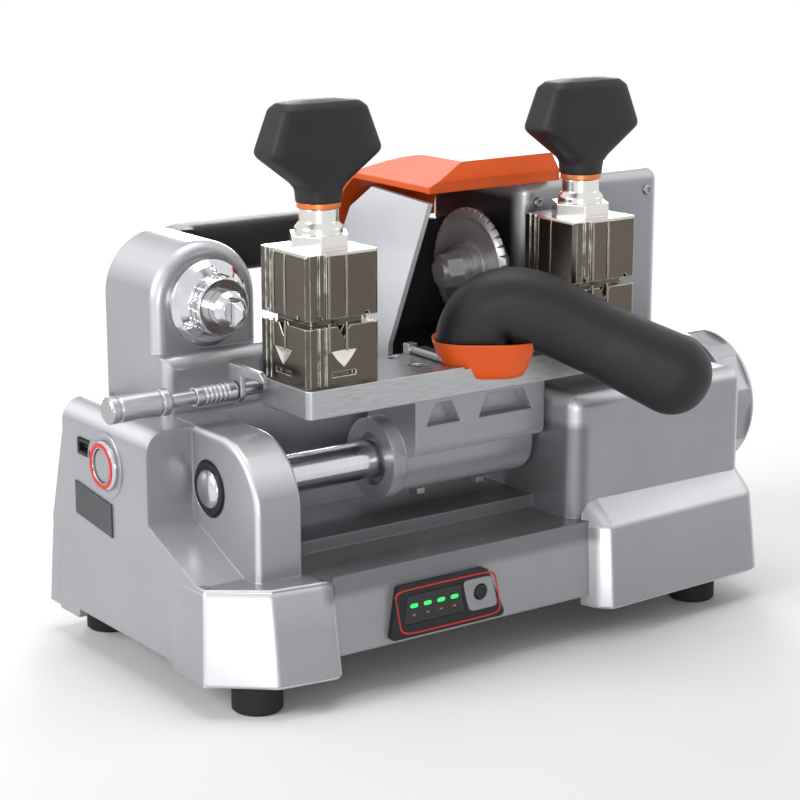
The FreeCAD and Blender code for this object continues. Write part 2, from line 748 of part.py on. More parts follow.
def hinge_lugs():
    # Lugs on the back of the hood with their pins
    pieces = []
    for x in hinge_xs:
        for lug_x in (x - 4.3, x + 6.3):
            pieces.append(cyl_x(4.0, lug_x, lug_x + 4, hinge_y, hinge_z))
            pieces.append(box(lug_x, lug_x + 4, hood_back - 1, hinge_y, hinge_z - 4, hinge_z + 4))
        pieces.append(cyl_x(2.0, x - 4.3, x + 10.3, hinge_y, hinge_z))
    return pieces


def chip_hood():
    # Dark chamber behind the cutter, back wall, sloping chip floor and front sill
    x0 = hood_left + 3.2
    x1 = housing_left - 0.3
    back = box(x0, x1, hood_back - 5, hood_back, deck, hinge_z + 4)
    floor = prism_x([(bulkhead + 6, deck), (bulkhead + 6, deck + 3), (hood_back - 4, deck + 12),
                     (hood_back - 4, deck)], x0, x1)
    return merge([back, floor] + hinge_lugs() + carry_bracket())


def hood_cheek():
    lip = spindle_y - cutter_radius + 1.8
    low = deck + 13
    profile = [(lip, housing_top - 4), (spindle_y + 4.6, low), (spindle_y + 4.6, deck), (hood_back, deck),
               (hood_back, hinge_z + 4), (hood_back - 6, guard_top - 26), (spindle_y + 18, guard_top - 14.5)]
    plate = prism_x(profile, hood_left + fit_gap, hood_left + 3.0)
    return plate


# Carry handle at the back
carry_y = post_back + 12.0
carry_z = spindle_z + 13.0
carry_x0 = tracer_x - 12.0
carry_x1 = hood_left - 3.0


def carry_handle():
    bar = box(carry_x0, carry_x1, carry_y - 9, carry_y + 9, carry_z - 12, carry_z + 12)
    bar = round_edges(bar, 7.5, lambda c, b: near(b.XLength, carry_x1 - carry_x0))
    stub = box(carry_x0 + 3, carry_x0 + 21, post_back, carry_y, carry_z - 8, carry_z + 8)
    return merge([bar, stub])


def carry_bracket():
    # Arm from the back of the hood that holds the right end of the handle
    x0 = carry_x1
    top = hinge_z - 4.6
    arm = box(x0, x0 + 16, hood_back, carry_y + 6, carry_z - 11, top)
    foot = box(x0 + 6, x0 + 20, hood_back - 1, hood_back + 4, deck + 16, top)
    return [arm, foot]


# Carriage on its shaft
hub_x0 = ped_right + 61.0
hub_x1 = block_left - 1.9
hub_radius = 17.0
bush_radius = 12.0
plate_x0 = vise_xs[0] - vise_side / 2 - 1.5
plate_x1 = vise_xs[1] + vise_side / 2 + 3.5
plate_y0 = vise_y - vise_side / 2 - 3.0
plate_y1 = vise_y + vise_side / 2 - 2.0


def carriage_shaft():
    shape = cyl_x(shaft_radius, ped_left + 1.5, block_right + 11, shaft_y, shaft_height)
    groove = tube(shaft_radius + 1, shaft_radius - 0.8, 1.6, vec(ped_left + 4, shaft_y, shaft_height),
                  vec(1, 0, 0))
    return shape.cut(groove)


def shaft_cap():
    ring = tube(shaft_radius + 3.7, shaft_radius + 0.4, 5.0, vec(ped_left + 0.6, shaft_y, shaft_height),
                vec(1, 0, 0))
    face = cyl_x(shaft_radius + 2.6, ped_left - 0.6, ped_left + 1.2, shaft_y, shaft_height)
    return merge([ring, face])


def bushings():
    rings = []
    for x0 in (hub_x0 + 2, hub_x1 - 26):
        start = vec(x0, shaft_y, shaft_height)
        rings.append(tube(bush_radius - run_gap, shaft_radius + run_gap, 24, start, vec(1, 0, 0)))
    return Part.makeCompound(rings)


def carriage_casting():
    x0 = hub_x0
    x1 = hub_x1
    hub = cyl_x(hub_radius, x0, x1, shaft_y, shaft_height)
    collar = cyl_x(hub_radius + 1.6, x0, x0 + 7, shaft_y, shaft_height)
    front = shaft_y - 25
    saddle = box(x0 + 7, x1, front, shaft_y + 12, shaft_height + 4, plate_low)
    saddle = round_edges(saddle, 5.0, lambda c, b: near(b.XLength, x1 - x0 - 7) and c.z < plate_low - 2)
    body = merge([hub, collar, saddle])
    mid = (x0 + x1) / 2
    # Slanted pockets in the front of the saddle with a rib between them
    for a, b in ((x0 + 13, mid - 8), (mid + 2, x1 - 7)):
        pocket = prism_y([(a, shaft_height + 18), (b, shaft_height + 18), (b - 5, plate_low - 4),
                          (a + 5, plate_low - 4)], front - 1, front + 6)
        body = body.cut(pocket)
    body = body.cut(box(x0 + 16, x1 - 8, shaft_y - 9, shaft_y + 7,
                        shaft_height + hub_radius + 4, plate_low - 6))
    return body.cut(cyl_x(bush_radius, x0 - 1, x1 + 1, shaft_y, shaft_height))


def bush_screws():
    mid = (hub_x0 + hub_x1) / 2
    screws = []
    for x in (mid - 14, mid + 20):
        screws.append(cyl_z(2.6, shaft_height - hub_radius - 3.0, shaft_height - hub_radius + 0.0, x, shaft_y)
                      .fuse(prism_z([(x + a, shaft_y + b) for a, b in hexagon(7, 0)],
                                    shaft_height - hub_radius - 3.0, shaft_height - hub_radius - 0.2)))
    return screws


def carriage_plate():
    shape = box(plate_x0, plate_x1, plate_y0, plate_y1, plate_low, plate_top)
    shape = round_edges(shape, 3.0, lambda c, b: near(b.ZLength, plate_thick))
    for x in vise_xs:
        shape = shape.cut(cyl_z(5.3, plate_low - 1, plate_top + 1, x, vise_y))
        shape = shape.cut(cyl_z(10.3, plate_low - 1, plate_low + 6.5, x, vise_y))
    for x, y in plate_screw_spots:
        shape = shape.cut(cyl_z(2.2, plate_low - 1, plate_top + 1, x, y))
        shape = shape.cut(cyl_z(4.2, plate_top - 4.2, plate_top + 1, x, y))
    # Step in the top that seats the collar of the lever
    return shape.cut(box(collar_x0 - fit_gap, collar_x1 + fit_gap, plate_y0 - 1, collar_y1 + fit_gap,
                         plate_top - 1.0, plate_top + 1))


plate_screw_spots = [(hub_x0 + 13, shaft_y + 2), (hub_x0 + 13, shaft_y - 18), (hub_x1 - 6, shaft_y + 2),
                     (hub_x1 - 6, shaft_y - 18)]


def carriage_screws():
    screws = []
    for x, y in plate_screw_spots:
        head = cyl_z(3.9, plate_top - 4.2, plate_top - 0.4, x, y)
        socket = prism_z([(x + a, y + b) for a, b in hexagon(3.2, 0)], plate_top - 2.4, plate_top)
        shank = cyl_z(1.9, plate_low, plate_top - 4.2, x, y)
        screws.append(merge([head, shank]).cut(socket))
    return Part.makeCompound(screws + bush_screws())


# Lever with its collar
collar_x0 = vise_xs[0] + 62.5
collar_x1 = collar_x0 + 31.0
collar_y0 = plate_y0 - 7.0
collar_y1 = plate_y0 + 24.0


def lever_collar():
    low = plate_top - 1.0
    top = plate_top + 6.5
    cap = box(collar_x0, collar_x1, collar_y0, collar_y1, low, top)
    lip = prism_x([(collar_y0, low), (collar_y0 + 3, plate_low + 6), (plate_y0 - fit_gap, plate_low + 6),
                   (plate_y0 - fit_gap, low)], collar_x0, collar_x1)
    shape = merge([cap, lip])
    return round_edges(shape, 3.0, lambda c, b: b.ZLength > 5 and near(b.YLength, 0))


def lever_grip():
    # Round grip that bends up out of the collar and sweeps down to the front right
    root = vec((collar_x0 + collar_x1) / 2 - 1, collar_y0 + 17, plate_top + 6.5)
    heading = vec(math.cos(lever_turn), -math.sin(lever_turn), 0)
    bend = 20.0
    rings = []
    for share, radius in ((0.0, 12.4), (0.25, 13.4), (0.5, 14.2), (0.75, 14.4), (1.0, 14.0)):
        angle = share * (math.pi / 2 + lever_fall)
        spot = root + heading * (bend * (1 - math.cos(angle))) + vec(0, 0, bend * math.sin(angle))
        rings.append((radius, spot, angle))
    corner = rings[-1][1]
    down = heading * math.cos(lever_fall) - vec(0, 0, math.sin(lever_fall))
    for share, radius in ((0.3, 13.6), (0.6, 13.8), (0.85, 14.8), (1.0, 15.4)):
        rings.append((radius, corner + down * (lever_reach * share), math.pi / 2 + lever_fall))
    wires = []
    for radius, spot, angle in rings:
        axis = heading * math.sin(angle) + vec(0, 0, math.cos(angle))
        ring = Part.makeCircle(radius)
        ring.Placement = FreeCAD.Placement(spot, FreeCAD.Rotation(vec(0, 0, 1), axis))
        wires.append(Part.Wire(ring))
    body = Part.makeLoft(wires, True, False)
    return merge([body, Part.makeSphere(rings[-1][0], rings[-1][1])])


lever_turn = math.radians(35)
lever_fall = math.radians(28)
lever_reach = 60.0


def lever_bar():
    y0 = collar_y1 - 12
    y1 = plate_y1 + 1.0
    x = collar_x0 - 3.2
    bar = cyl_y(1.7, y0, y1, x, plate_top + 1.75)
    ends = box(x - 2.4, x + 2.4, y1 - 4, y1, plate_top, plate_top + 4.5)
    return merge([bar, ends])


# Vises
def jaw_grooves(x, y, z0, z1):
    half = vise_side / 2
    cuts = []
    for step in (5.0, 8.5):
        cuts.append(box(x - half + step, x - half + step + 1.2, y - half - 1, y - half + 1.0, z0, z1))
        cuts.append(box(x + half - step - 1.2, x + half - step, y + half - 1.0, y + half + 1, z0, z1))
        cuts.append(box(x - half - 1, x - half + 1.0, y + half - step - 1.2, y + half - step, z0, z1))
        cuts.append(box(x + half - 1.0, x + half + 1, y - half + step, y - half + step + 1.2, z0, z1))
    return cuts


def jaw_block(x, z0, z1):
    half = vise_side / 2
    block = box(x - half, x + half, vise_y - half, vise_y + half, z0, z1)
    tall = z1 - z0
    block = block.makeChamfer(1.6, [e for e in block.Edges if near(e.BoundBox.ZLength, tall)])
    return block.cut(jaw_grooves(x, vise_y, z0 - 1, z1 + 1))


def lower_jaw(x):
    z0 = plate_top + 0.1
    z1 = key_plane - 0.6
    half = vise_side / 2
    block = jaw_block(x, z0, z1)
    # Key ledges along the four upper sides and a vee notch in each side
    for turn in range(4):
        ledge = box(x - half - 1, x + half + 1, vise_y - half - 1, vise_y - half + 5.5, z1 - 2.2, z1 + 1)
        notch = prism_y([(x - 5, z1 + 1), (x, z1 - 7.5), (x + 5, z1 + 1)],
                        vise_y - half - 1, vise_y - half + 4)
        slot = box(x - 6, x + 6, vise_y - half - 1, vise_y - half + 2.5, z0 + 4, z0 + 6)
        for cut in (ledge, notch, slot):
            cut.rotate(vec(x, vise_y, 0), vec(0, 0, 1), 90 * turn)
            block = block.cut(cut)
    block = block.cut(cyl_z(5.3, z0 - 1, z1 + 1, x, vise_y))
    return block.cut(cyl_z(8.6, z1 - 12, z1 + 1, x, vise_y))


def upper_jaw(x):
    z0 = key_plane + 0.6
    half = vise_side / 2
    block = jaw_block(x, z0, jaw_top)
    for turn in range(4):
        lip = box(x - half - 1, x + half + 1, vise_y - half + 5.5, vise_y - half + 7.5, z0 - 1, z0 + 1.6)
        lip.rotate(vec(x, vise_y, 0), vec(0, 0, 1), 90 * turn)
        block = block.cut(lip)
    block = block.makeChamfer(1.0, [e for e in block.Edges if near(e.CenterOfMass.z, jaw_top)
                                    and e.BoundBox.DiagonalLength > vise_side * 0.55])
    boss = prism_z([(x + a, vise_y + b) for a, b in hexagon(24, 0)], jaw_top - 1, jaw_top + 6)
    tower = turned([(0, 0), (10.5, 0), (10.5, 2.5), (8.5, 5), (8.5, 10.7), (0, 10.7)],
                   vec(x, vise_y, jaw_top + 6), vec(0, 0, 1))
    block = merge([block, boss, tower])
    block = block.cut(cyl_z(5.3, z0 - 1, jaw_top + 20, x, vise_y))
    return block.cut(cyl_z(8.6, z0 - 1, z0 + 7.0, x, vise_y))


def clamp_stud(x):
    head = cyl_z(9.8, plate_low + 0.4, plate_low + 6.2, x, vise_y)
    shank = cyl_z(5.0, plate_low + 6.2, knob_low + 14, x, vise_y)
    return merge([head, shank])


def knob_ring(x):
    return tube(9.4, 5.4, ring_high - ring_low, vec(x, vise_y, ring_low), vec(0, 0, 1))


ring_high = knob_low - 0.2


def wing_knob(x):
    # Flat wing, widest above its middle, with swept shoulders above a round neck
    z = knob_low
    right_side = [(8.5, 0), (9.5, 6), (12.0, 10), (knob_half - 2, 22.5), (knob_half, 26.5),
                  (knob_half - 2.5, 36), (knob_half - 8.5, 42)]
    left_side = [(-a, b) for a, b in reversed(right_side)]
    outline = right_side + [(0, knob_height)] + left_side
    wing = prism_y([(x + a, z + b) for a, b in outline], vise_y - 11, vise_y + 11)
    wing = round_edges(wing, 2.5, lambda c, b: near(b.YLength, 22) and c.z > z + 15)
    front = [(8.5, 0), (8.0, 8), (10.5, 20), (10.0, 34), (5.5, knob_height + 1)]
    back = [(-a, b) for a, b in reversed(front)]
    pad = prism_x([(vise_y + a, z + b) for a, b in front + back], x - knob_half - 1, x + knob_half + 1)
    return wing.common(pad).cut(cyl_z(5.2, z - 1, z + 14.4, x, vise_y))


knob_half = 28.0
knob_height = 43.4


# Key gauge behind the plate
gauge_y = plate_y1 + 6.2
gauge_z = plate_top - 6.4
finger_gap = 0.6
finger_thick = 2.4
sleeve_gap = 0.84
sleeve_length = 20.0


def gauge_rod():
    x0 = plate_x0 - 66.8
    x1 = vise_xs[1] - vise_side / 2
    return cyl_x(3.0, x0, x1, gauge_y, gauge_z)


def finger_right(vise_x):
    # clear of the vise's corners as it turns
    return vise_x - vise_side / math.sqrt(2) - finger_gap


def gauge_fingers():
    fingers = []
    for vise_x in vise_xs:
        x1 = finger_right(vise_x)
        x0 = x1 - finger_thick
        hub = cyl_x(5.0, x0, x1, gauge_y, gauge_z)
        arm = prism_x([(gauge_y - 5, gauge_z), (gauge_y + 5, gauge_z), (gauge_y + 5, gauge_z + 11.5),
                       (gauge_y - 20, gauge_z + 11.5), (gauge_y - 23, gauge_z + 9),
                       (gauge_y - 23, gauge_z + 7.4), (gauge_y - 5, gauge_z + 7.4)], x0, x1)
        finger = merge([hub, arm])
        fingers.append(finger.cut(cyl_x(3.02, x0 - 2, x1 + 2, gauge_y, gauge_z)))
    return Part.makeCompound(fingers)


def gauge_knob():
    x0 = plate_x0 - 72
    shape = turned([(0, 0), (5.0, 0), (5.9, 0.9), (5.9, 28.5), (5.0, 29.5), (3.06, 29.5), (3.06, 5), (0, 5)],
                   vec(x0, gauge_y, gauge_z), vec(1, 0, 0))
    for x in (x0 + 4, x0 + 24):
        shape = shape.cut(tube(7, 5.4, 1.2, vec(x, gauge_y, gauge_z), vec(1, 0, 0)))
    return shape


def gauge_sleeve():
    x0 = finger_right(vise_xs[0]) - finger_thick - sleeve_gap - sleeve_length
    shape = tube(4.2, 3.06, sleeve_length, vec(x0, gauge_y, gauge_z), vec(1, 0, 0))
    for row in range(6):
        shape = shape.cut(tube(5, 3.7, 0.8, vec(x0 + 4 + row * 2.2, gauge_y, gauge_z), vec(1, 0, 0)))
    return shape


def gauge_brackets():
    brackets = []
    for x in (plate_x0 + 6, (vise_xs[0] + vise_xs[1]) / 2 - 6):
        block = box(x, x + 10, plate_y1, gauge_y + 5.2, gauge_z - 5.5, gauge_z + 5.2)
        brackets.append(block.cut(cyl_x(3.05, x - 1, x + 11, gauge_y, gauge_z)))
    return Part.makeCompound(brackets)


def build():
    save("base_casting", base_casting())
    save("bottom_plate", bottom_plate())
    save("case_screws", case_screws())
    save("rubber_feet", rubber_feet())
    save("display_bezel", display_bezel())
    save("display_window", display_window())
    save("panel_button", panel_button())
    save("power_bezel", power_bezel())
    save("power_button", power_button())
    save("charge_socket", charge_socket())
    save("label_plate", label_plate())
    save("battery_door", battery_door())
    save("battery_pack", battery_pack())
    save("control_board", control_board())
    save("motor_body", motor_body())
    save("motor_rotor", motor_rotor())
    save("motor_pulley", motor_pulley())
    save("shaft_drum", shaft_drum())
    save("shaft_nut", shaft_nut())
    save("drive_belt", drive_belt())
    save("tracer_post", tracer_post())
    save("tracer_flange", tracer_flange())
    save("tracer_ring", tracer_ring())
    save("tracer_holder", tracer_holder())
    save("tracer_stylus", tracer_stylus())
    save("spindle_housing", spindle_housing())
    save("spindle_bearings", spindle_bearings())
    save("spindle_shaft", spindle_shaft())
    save("spindle_pulley", spindle_pulley())
    save("cutter_disc", cutter_disc())
    save("cutter_nut", cutter_nut())
    save("lock_button", lock_button())
    save("guard", guard())
    save("chip_hood", chip_hood())
    save("hood_cheek", hood_cheek())
    save("carry_handle", carry_handle())
    save("carriage_shaft", carriage_shaft())
    save("shaft_cap", shaft_cap())
    save("bushings", bushings())
    save("carriage_casting", carriage_casting())
    save("carriage_plate", carriage_plate())
    save("carriage_screws", carriage_screws())
    save("lever_collar", lever_collar())
    save("lever_grip", lever_grip())
    save("lever_bar", lever_bar())
    save("gauge_rod", gauge_rod())
    save("gauge_fingers", gauge_fingers())
    save("gauge_grips", Part.makeCompound([gauge_knob(), gauge_sleeve()]))
    save("gauge_brackets", gauge_brackets())
    for side, x in zip(("left", "right"), vise_xs):
        save(side + "_lower_jaw", lower_jaw(x))
        save(side + "_upper_jaw", upper_jaw(x))
        save(side + "_clamp_stud", clamp_stud(x))
        save(side + "_knob_ring", knob_ring(x))
        save(side + "_wing_knob", wing_knob(x))


build()
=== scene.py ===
import json
import math

import bmesh
import bpy
import numpy as np
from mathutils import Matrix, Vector


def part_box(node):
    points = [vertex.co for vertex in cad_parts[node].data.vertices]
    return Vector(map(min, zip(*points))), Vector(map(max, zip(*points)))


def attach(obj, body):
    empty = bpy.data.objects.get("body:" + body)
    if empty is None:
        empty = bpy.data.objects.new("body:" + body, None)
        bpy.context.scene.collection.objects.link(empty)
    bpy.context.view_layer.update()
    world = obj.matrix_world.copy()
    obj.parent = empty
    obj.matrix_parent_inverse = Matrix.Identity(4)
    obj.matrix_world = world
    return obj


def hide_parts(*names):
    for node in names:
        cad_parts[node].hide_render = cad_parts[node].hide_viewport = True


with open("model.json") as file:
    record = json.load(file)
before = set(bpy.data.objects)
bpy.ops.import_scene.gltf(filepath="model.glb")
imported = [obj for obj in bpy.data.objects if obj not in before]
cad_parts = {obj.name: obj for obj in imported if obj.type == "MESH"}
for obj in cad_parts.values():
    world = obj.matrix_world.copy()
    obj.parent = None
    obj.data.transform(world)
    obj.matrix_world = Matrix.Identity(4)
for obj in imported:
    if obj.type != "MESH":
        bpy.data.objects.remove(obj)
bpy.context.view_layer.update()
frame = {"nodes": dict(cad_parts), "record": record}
nodes = frame["nodes"]
mm = 0.001
alongX, alongY, alongZ = (1, 0, 0), (0, 1, 0), (0, 0, 1)
toLeft, toFront = (-1, 0, 0), (0, -1, 0)


# Colours are given as screen values from 0 to 255 and turned into linear light
def tint(red, green, blue):
    screen = np.array([red, green, blue]) / 255.0
    linear = np.where(screen <= 0.04045, screen / 12.92, ((screen + 0.055) / 1.055) ** 2.4)
    return (*linear.tolist(), 1.0)


def tones(**colours):
    return {key: tint(*screen) for key, screen in colours.items()}


def addNode(tree, kind, **settings):
    node = tree.nodes.new(kind)
    for key, value in settings.items():
        setattr(node, key, value)
    return node


# A socket takes either a link from another socket or a constant of its own
def give(tree, value, socket):
    if isinstance(value, bpy.types.NodeSocket):
        tree.links.new(value, socket)
    else:
        socket.default_value = value


def fill(tree, sockets, values):
    for name, value in values.items():
        give(tree, value, sockets[name])


def addMath(tree, operation, *values):
    node = addNode(tree, "ShaderNodeMath", operation=operation)
    fill(tree, node.inputs, dict(enumerate(values)))
    return node.outputs[0]


def addVector(tree, operation, *values):
    node = addNode(tree, "ShaderNodeVectorMath", operation=operation)
    fill(tree, node.inputs, dict(enumerate(values)))
    return node.outputs["Value" if operation in ("DOT_PRODUCT", "LENGTH") else "Vector"]


mixSockets = {"inputs": (0, 6, 7), "result": 2}  # where a Mix node keeps its mask and its colours


# Colour is the under one where the mask is 0 and the over one where it is 1
def addMix(tree, mask, under, over):
    node = addNode(tree, "ShaderNodeMix", data_type="RGBA")
    fill(tree, node.inputs, dict(zip(mixSockets["inputs"], (mask, under, over))))
    return node.outputs[mixSockets["result"]]


def addRange(tree, value, fromLow, fromHigh, toLow=0.0, toHigh=1.0):
    node = addNode(tree, "ShaderNodeMapRange")
    fill(tree, node.inputs, {"Value": value, "From Min": fromLow, "From Max": fromHigh, "To Min": toLow,
                             "To Max": toHigh})
    return node.outputs[0]


def addNoise(tree, place, scale, detail):
    node = addNode(tree, "ShaderNodeTexNoise")
    fill(tree, node.inputs, {"Vector": place, "Scale": scale, "Detail": detail})
    return node.outputs[0]


def objectPlace(tree):
    return addNode(tree, "ShaderNodeTexCoord").outputs["Object"]


def faceNormal(tree):
    return addNode(tree, "ShaderNodeNewGeometry").outputs["Normal"]


def splitAxes(tree, vector):
    node = addNode(tree, "ShaderNodeSeparateXYZ")
    give(tree, vector, node.inputs[0])
    return [node.outputs[axis] for axis in "XYZ"]


# A group's inputs are named with their first values, numbers or vectors, and it puts out a mask
def newGroup(name, inputs, withNormal=False):
    tree = bpy.data.node_groups.new(name, "ShaderNodeTree")
    for socketName, value in inputs.items():
        kind = "NodeSocketVector" if isinstance(value, tuple) else "NodeSocketFloat"
        socket = tree.interface.new_socket(name=socketName, in_out="INPUT", socket_type=kind)
        socket.default_value = value
    tree.interface.new_socket(name="Mask", in_out="OUTPUT", socket_type="NodeSocketFloat")
    if withNormal:
        tree.interface.new_socket(name="Normal", in_out="OUTPUT", socket_type="NodeSocketVector")
    return tree, tree.nodes.new("NodeGroupInput").outputs, tree.nodes.new("NodeGroupOutput").inputs


# Spans are the values of a noise, a normal or a lean that become 0 and 1 in a mask
groupLook = {"grainSpan": (0.32, 0.68), "turnedSpan": (0.3, 0.7), "wearLean": (0.98, 0.78),
             "wearSpan": (0.35, 0.65), "wearLeast": 0.25, "wearScale": 160.0, "wearDetail": 2.0,
             "bevelSamples": 6, "dustLean": (0.6, 1.0), "dustSpan": (0.4, 0.75), "dustScale": 45.0,
             "dustDetail": 6.0, "crownLean": (0.5, 0.8), "hollowFade": 4.0 * mm, "burnishSpan": (0.26, 0.62)}


# Grain: noise on object coordinates, stretched along an axis for brushed metal
def grainGroup():
    tree, given, result = newGroup("surfaceGrain", {"Scale": 100.0, "Stretch": (1, 1, 1), "Detail": 3.0})
    place = addVector(tree, "MULTIPLY", objectPlace(tree), given["Stretch"])
    noise = addNoise(tree, place, given["Scale"], given["Detail"])
    give(tree, addRange(tree, noise, *groupLook["grainSpan"]), result["Mask"])
    return tree


# Turned lines: noise of the distance from an axis plus the distance along it, so every line runs round
def turnedGroup():
    tree, given, result = newGroup("turnedLines", {"Centre": (0, 0, 0), "Axis": alongX, "Scale": 2000.0})
    away = addVector(tree, "SUBTRACT", objectPlace(tree), given["Centre"])
    along = addVector(tree, "DOT_PRODUCT", away, given["Axis"])
    radius = addVector(tree, "LENGTH", addVector(tree, "CROSS_PRODUCT", away, given["Axis"]))
    where = addMath(tree, "MULTIPLY", addMath(tree, "ADD", radius, along), given["Scale"])
    noise = addNode(tree, "ShaderNodeTexNoise", noise_dimensions="1D")
    fill(tree, noise.inputs, {"W": where, "Scale": 1.0})
    give(tree, addRange(tree, noise.outputs[0], *groupLook["turnedSpan"]), result["Mask"])
    return tree


# Edge wear: how far the rounded normal leans from the face's own, broken up by noise
def wearGroup():
    tree, given, result = newGroup("edgeWear", {"Radius": 0.001, "Amount": 0.5}, withNormal=True)
    rounded = addNode(tree, "ShaderNodeBevel", samples=groupLook["bevelSamples"])
    give(tree, given["Radius"], rounded.inputs["Radius"])
    lean = addVector(tree, "DOT_PRODUCT", rounded.outputs[0], faceNormal(tree))
    edge = addRange(tree, lean, *groupLook["wearLean"])
    noise = addNoise(tree, objectPlace(tree), groupLook["wearScale"], groupLook["wearDetail"])
    patches = addRange(tree, noise, *groupLook["wearSpan"], groupLook["wearLeast"], 1.0)
    broken = addMath(tree, "MULTIPLY", edge, patches)
    give(tree, addMath(tree, "MULTIPLY", broken, given["Amount"]), result["Mask"])
    give(tree, rounded.outputs[0], result["Normal"])
    return tree


# Dust: lies where a face looks up, in soft clouds
def dustGroup():
    tree, given, result = newGroup("restingDust", {"Amount": 0.1})
    upward = addRange(tree, splitAxes(tree, faceNormal(tree))[2], *groupLook["dustLean"])
    noise = addNoise(tree, objectPlace(tree), groupLook["dustScale"], groupLook["dustDetail"])
    cloud = addMath(tree, "MULTIPLY", upward, addRange(tree, noise, *groupLook["dustSpan"]))
    give(tree, addMath(tree, "MULTIPLY", cloud, given["Amount"]), result["Mask"])
    return tree


# Crown: everything above a height is ground bright, and every face that looks up gets a painted highlight
def crownGroup():
    tree, given, result = newGroup("brightCrown", {"Height": 1.0})
    above = addMath(tree, "GREATER_THAN", splitAxes(tree, objectPlace(tree))[2], given["Height"])
    upward = addRange(tree, splitAxes(tree, faceNormal(tree))[2], *groupLook["crownLean"])
    give(tree, addMath(tree, "MAXIMUM", above, upward), result["Mask"])
    return tree


# Painted shade: a soft-edged box in which the colour is darkened to stand for shade, as the product of three
# ramps
def hollowGroup():
    tree, given, result = newGroup("darkHollow", {"Centre": (0, 0, 0), "Half": (1, 1, 1), "Amount": 0.5})
    away = addVector(tree, "ABSOLUTE", addVector(tree, "SUBTRACT", objectPlace(tree), given["Centre"]))
    mask = given["Amount"]
    for margin in splitAxes(tree, addVector(tree, "SUBTRACT", given["Half"], away)):
        mask = addMath(tree, "MULTIPLY", mask, addRange(tree, margin, 0.0, groupLook["hollowFade"]))
    give(tree, mask, result["Mask"])
    return tree


# Fillet highlight: fillets and chamfers get a painted highlight, a brighter colour; the middle one of the
# normal's three sizes tells them from flats
def burnishGroup():
    tree, given, result = newGroup("filletBurnish", {"Amount": 0.5})
    x, y, z = splitAxes(tree, addVector(tree, "ABSOLUTE", faceNormal(tree)))
    largest = addMath(tree, "MAXIMUM", addMath(tree, "MAXIMUM", x, y), z)
    smallest = addMath(tree, "MINIMUM", addMath(tree, "MINIMUM", x, y), z)
    total = addMath(tree, "ADD", addMath(tree, "ADD", x, y), z)
    middle = addMath(tree, "SUBTRACT", addMath(tree, "SUBTRACT", total, largest), smallest)
    rubbed = addRange(tree, middle, *groupLook["burnishSpan"])
    give(tree, addMath(tree, "MULTIPLY", rubbed, given["Amount"]), result["Mask"])
    return tree


groups = {"grain": grainGroup(), "turned": turnedGroup(), "wear": wearGroup(), "dust": dustGroup(),
          "crown": crownGroup(), "hollow": hollowGroup(), "burnish": burnishGroup()}
print("shader groups built:", ", ".join(sorted(groups)))


def useGroup(tree, name, **values):
    node = addNode(tree, "ShaderNodeGroup", node_tree=groups[name])
    fill(tree, node.inputs, values)
    return node.outputs


# What every finish has unless its own dictionary says otherwise; edges and bump depths are in millimetres
plainLook = {**tones(dustColour=(190, 188, 182)), "cloudScale": 22.0, "cloudDetail": 4.0,
             "stretch": (1, 1, 1), "fleckAmount": 0.35, "edge": 0.6, "wear": 0.4, "dust": 0.06, "bump": 0.15,
             "bumpDepth": 0.06, "metallic": 0.0, "coat": 0.0, "coatRough": 0.12, "specular": 0.5}


# Every finish: base colour clouded into shade, flecked by grain, worn at its edges, dusted from above;
# the roughness runs from low to high with the mean of cloud and grain
def makeFinish(name, ownLook):
    look = {**plainLook, **ownLook}
    material = bpy.data.materials.new(name)
    material.use_nodes = True
    tree = material.node_tree
    shader = tree.nodes["Principled BSDF"].inputs
    cloud = useGroup(tree, "grain", Scale=look["cloudScale"], Detail=look["cloudDetail"])["Mask"]
    if "turned" in look:
        axis, centre = look["turned"]
        grain = useGroup(tree, "turned", Axis=axis, Centre=centre, Scale=look["grainScale"])["Mask"]
    else:
        grain = useGroup(tree, "grain", Scale=look["grainScale"], Stretch=look["stretch"])["Mask"]
    wear = useGroup(tree, "wear", Radius=look["edge"] * mm, Amount=look["wear"])
    layers = [(cloud, "shade"), (addMath(tree, "MULTIPLY", grain, look["fleckAmount"]), "fleck")]
    # painted highlight: fillets and chamfers turn brighter
    if "burnish" in look:
        layers.append((useGroup(tree, "burnish", Amount=look["burnish"])["Mask"], "burnishColour"))
    # the crown above its height is ground bright; upward faces get a painted highlight
    if "crown" in look:
        layers.append((useGroup(tree, "crown", Height=look["crown"])["Mask"], "crownColour"))
    layers.append((wear["Mask"], "worn"))
    # painted shade: inside a box the colour darkens
    if "hollow" in look:
        centre, half, amount = look["hollow"]
        hollow = useGroup(tree, "hollow", Centre=centre, Half=half, Amount=amount)
        layers.append((hollow["Mask"], "hollowColour"))
    layers.append((useGroup(tree, "dust", Amount=look["dust"])["Mask"], "dustColour"))
    colour = look["base"]
    for mask, tone in layers:
        colour = addMix(tree, mask, colour, look[tone])
    give(tree, colour, shader["Base Color"])
    mean = addMath(tree, "MULTIPLY", addMath(tree, "ADD", cloud, grain), 0.5)
    give(tree, addRange(tree, mean, 0.0, 1.0, *look["rough"]), shader["Roughness"])
    bump = addNode(tree, "ShaderNodeBump")
    fill(tree, bump.inputs, {"Strength": look["bump"], "Distance": look["bumpDepth"] * mm, "Height": grain,
                             "Normal": wear["Normal"]})
    fill(tree, shader, {"Normal": bump.outputs[0], "Metallic": look["metallic"], "Coat Weight": look["coat"],
                        "Coat Roughness": look["coatRough"], "Specular IOR Level": look["specular"]})
    return material


def boxCentre(node):
    low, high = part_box(node)
    return tuple((low + high) / 2)


# The painted-shade boxes: millimetres from the low and the high corner of what they are measured from
hollowLook = {"trough": {"low": (-3, 0, -12), "high": (12, 34, -8), "amount": 0.75},
              "wall": {"low": (-12, 5, -10), "high": (4, 10, -5), "amount": 0.95}}


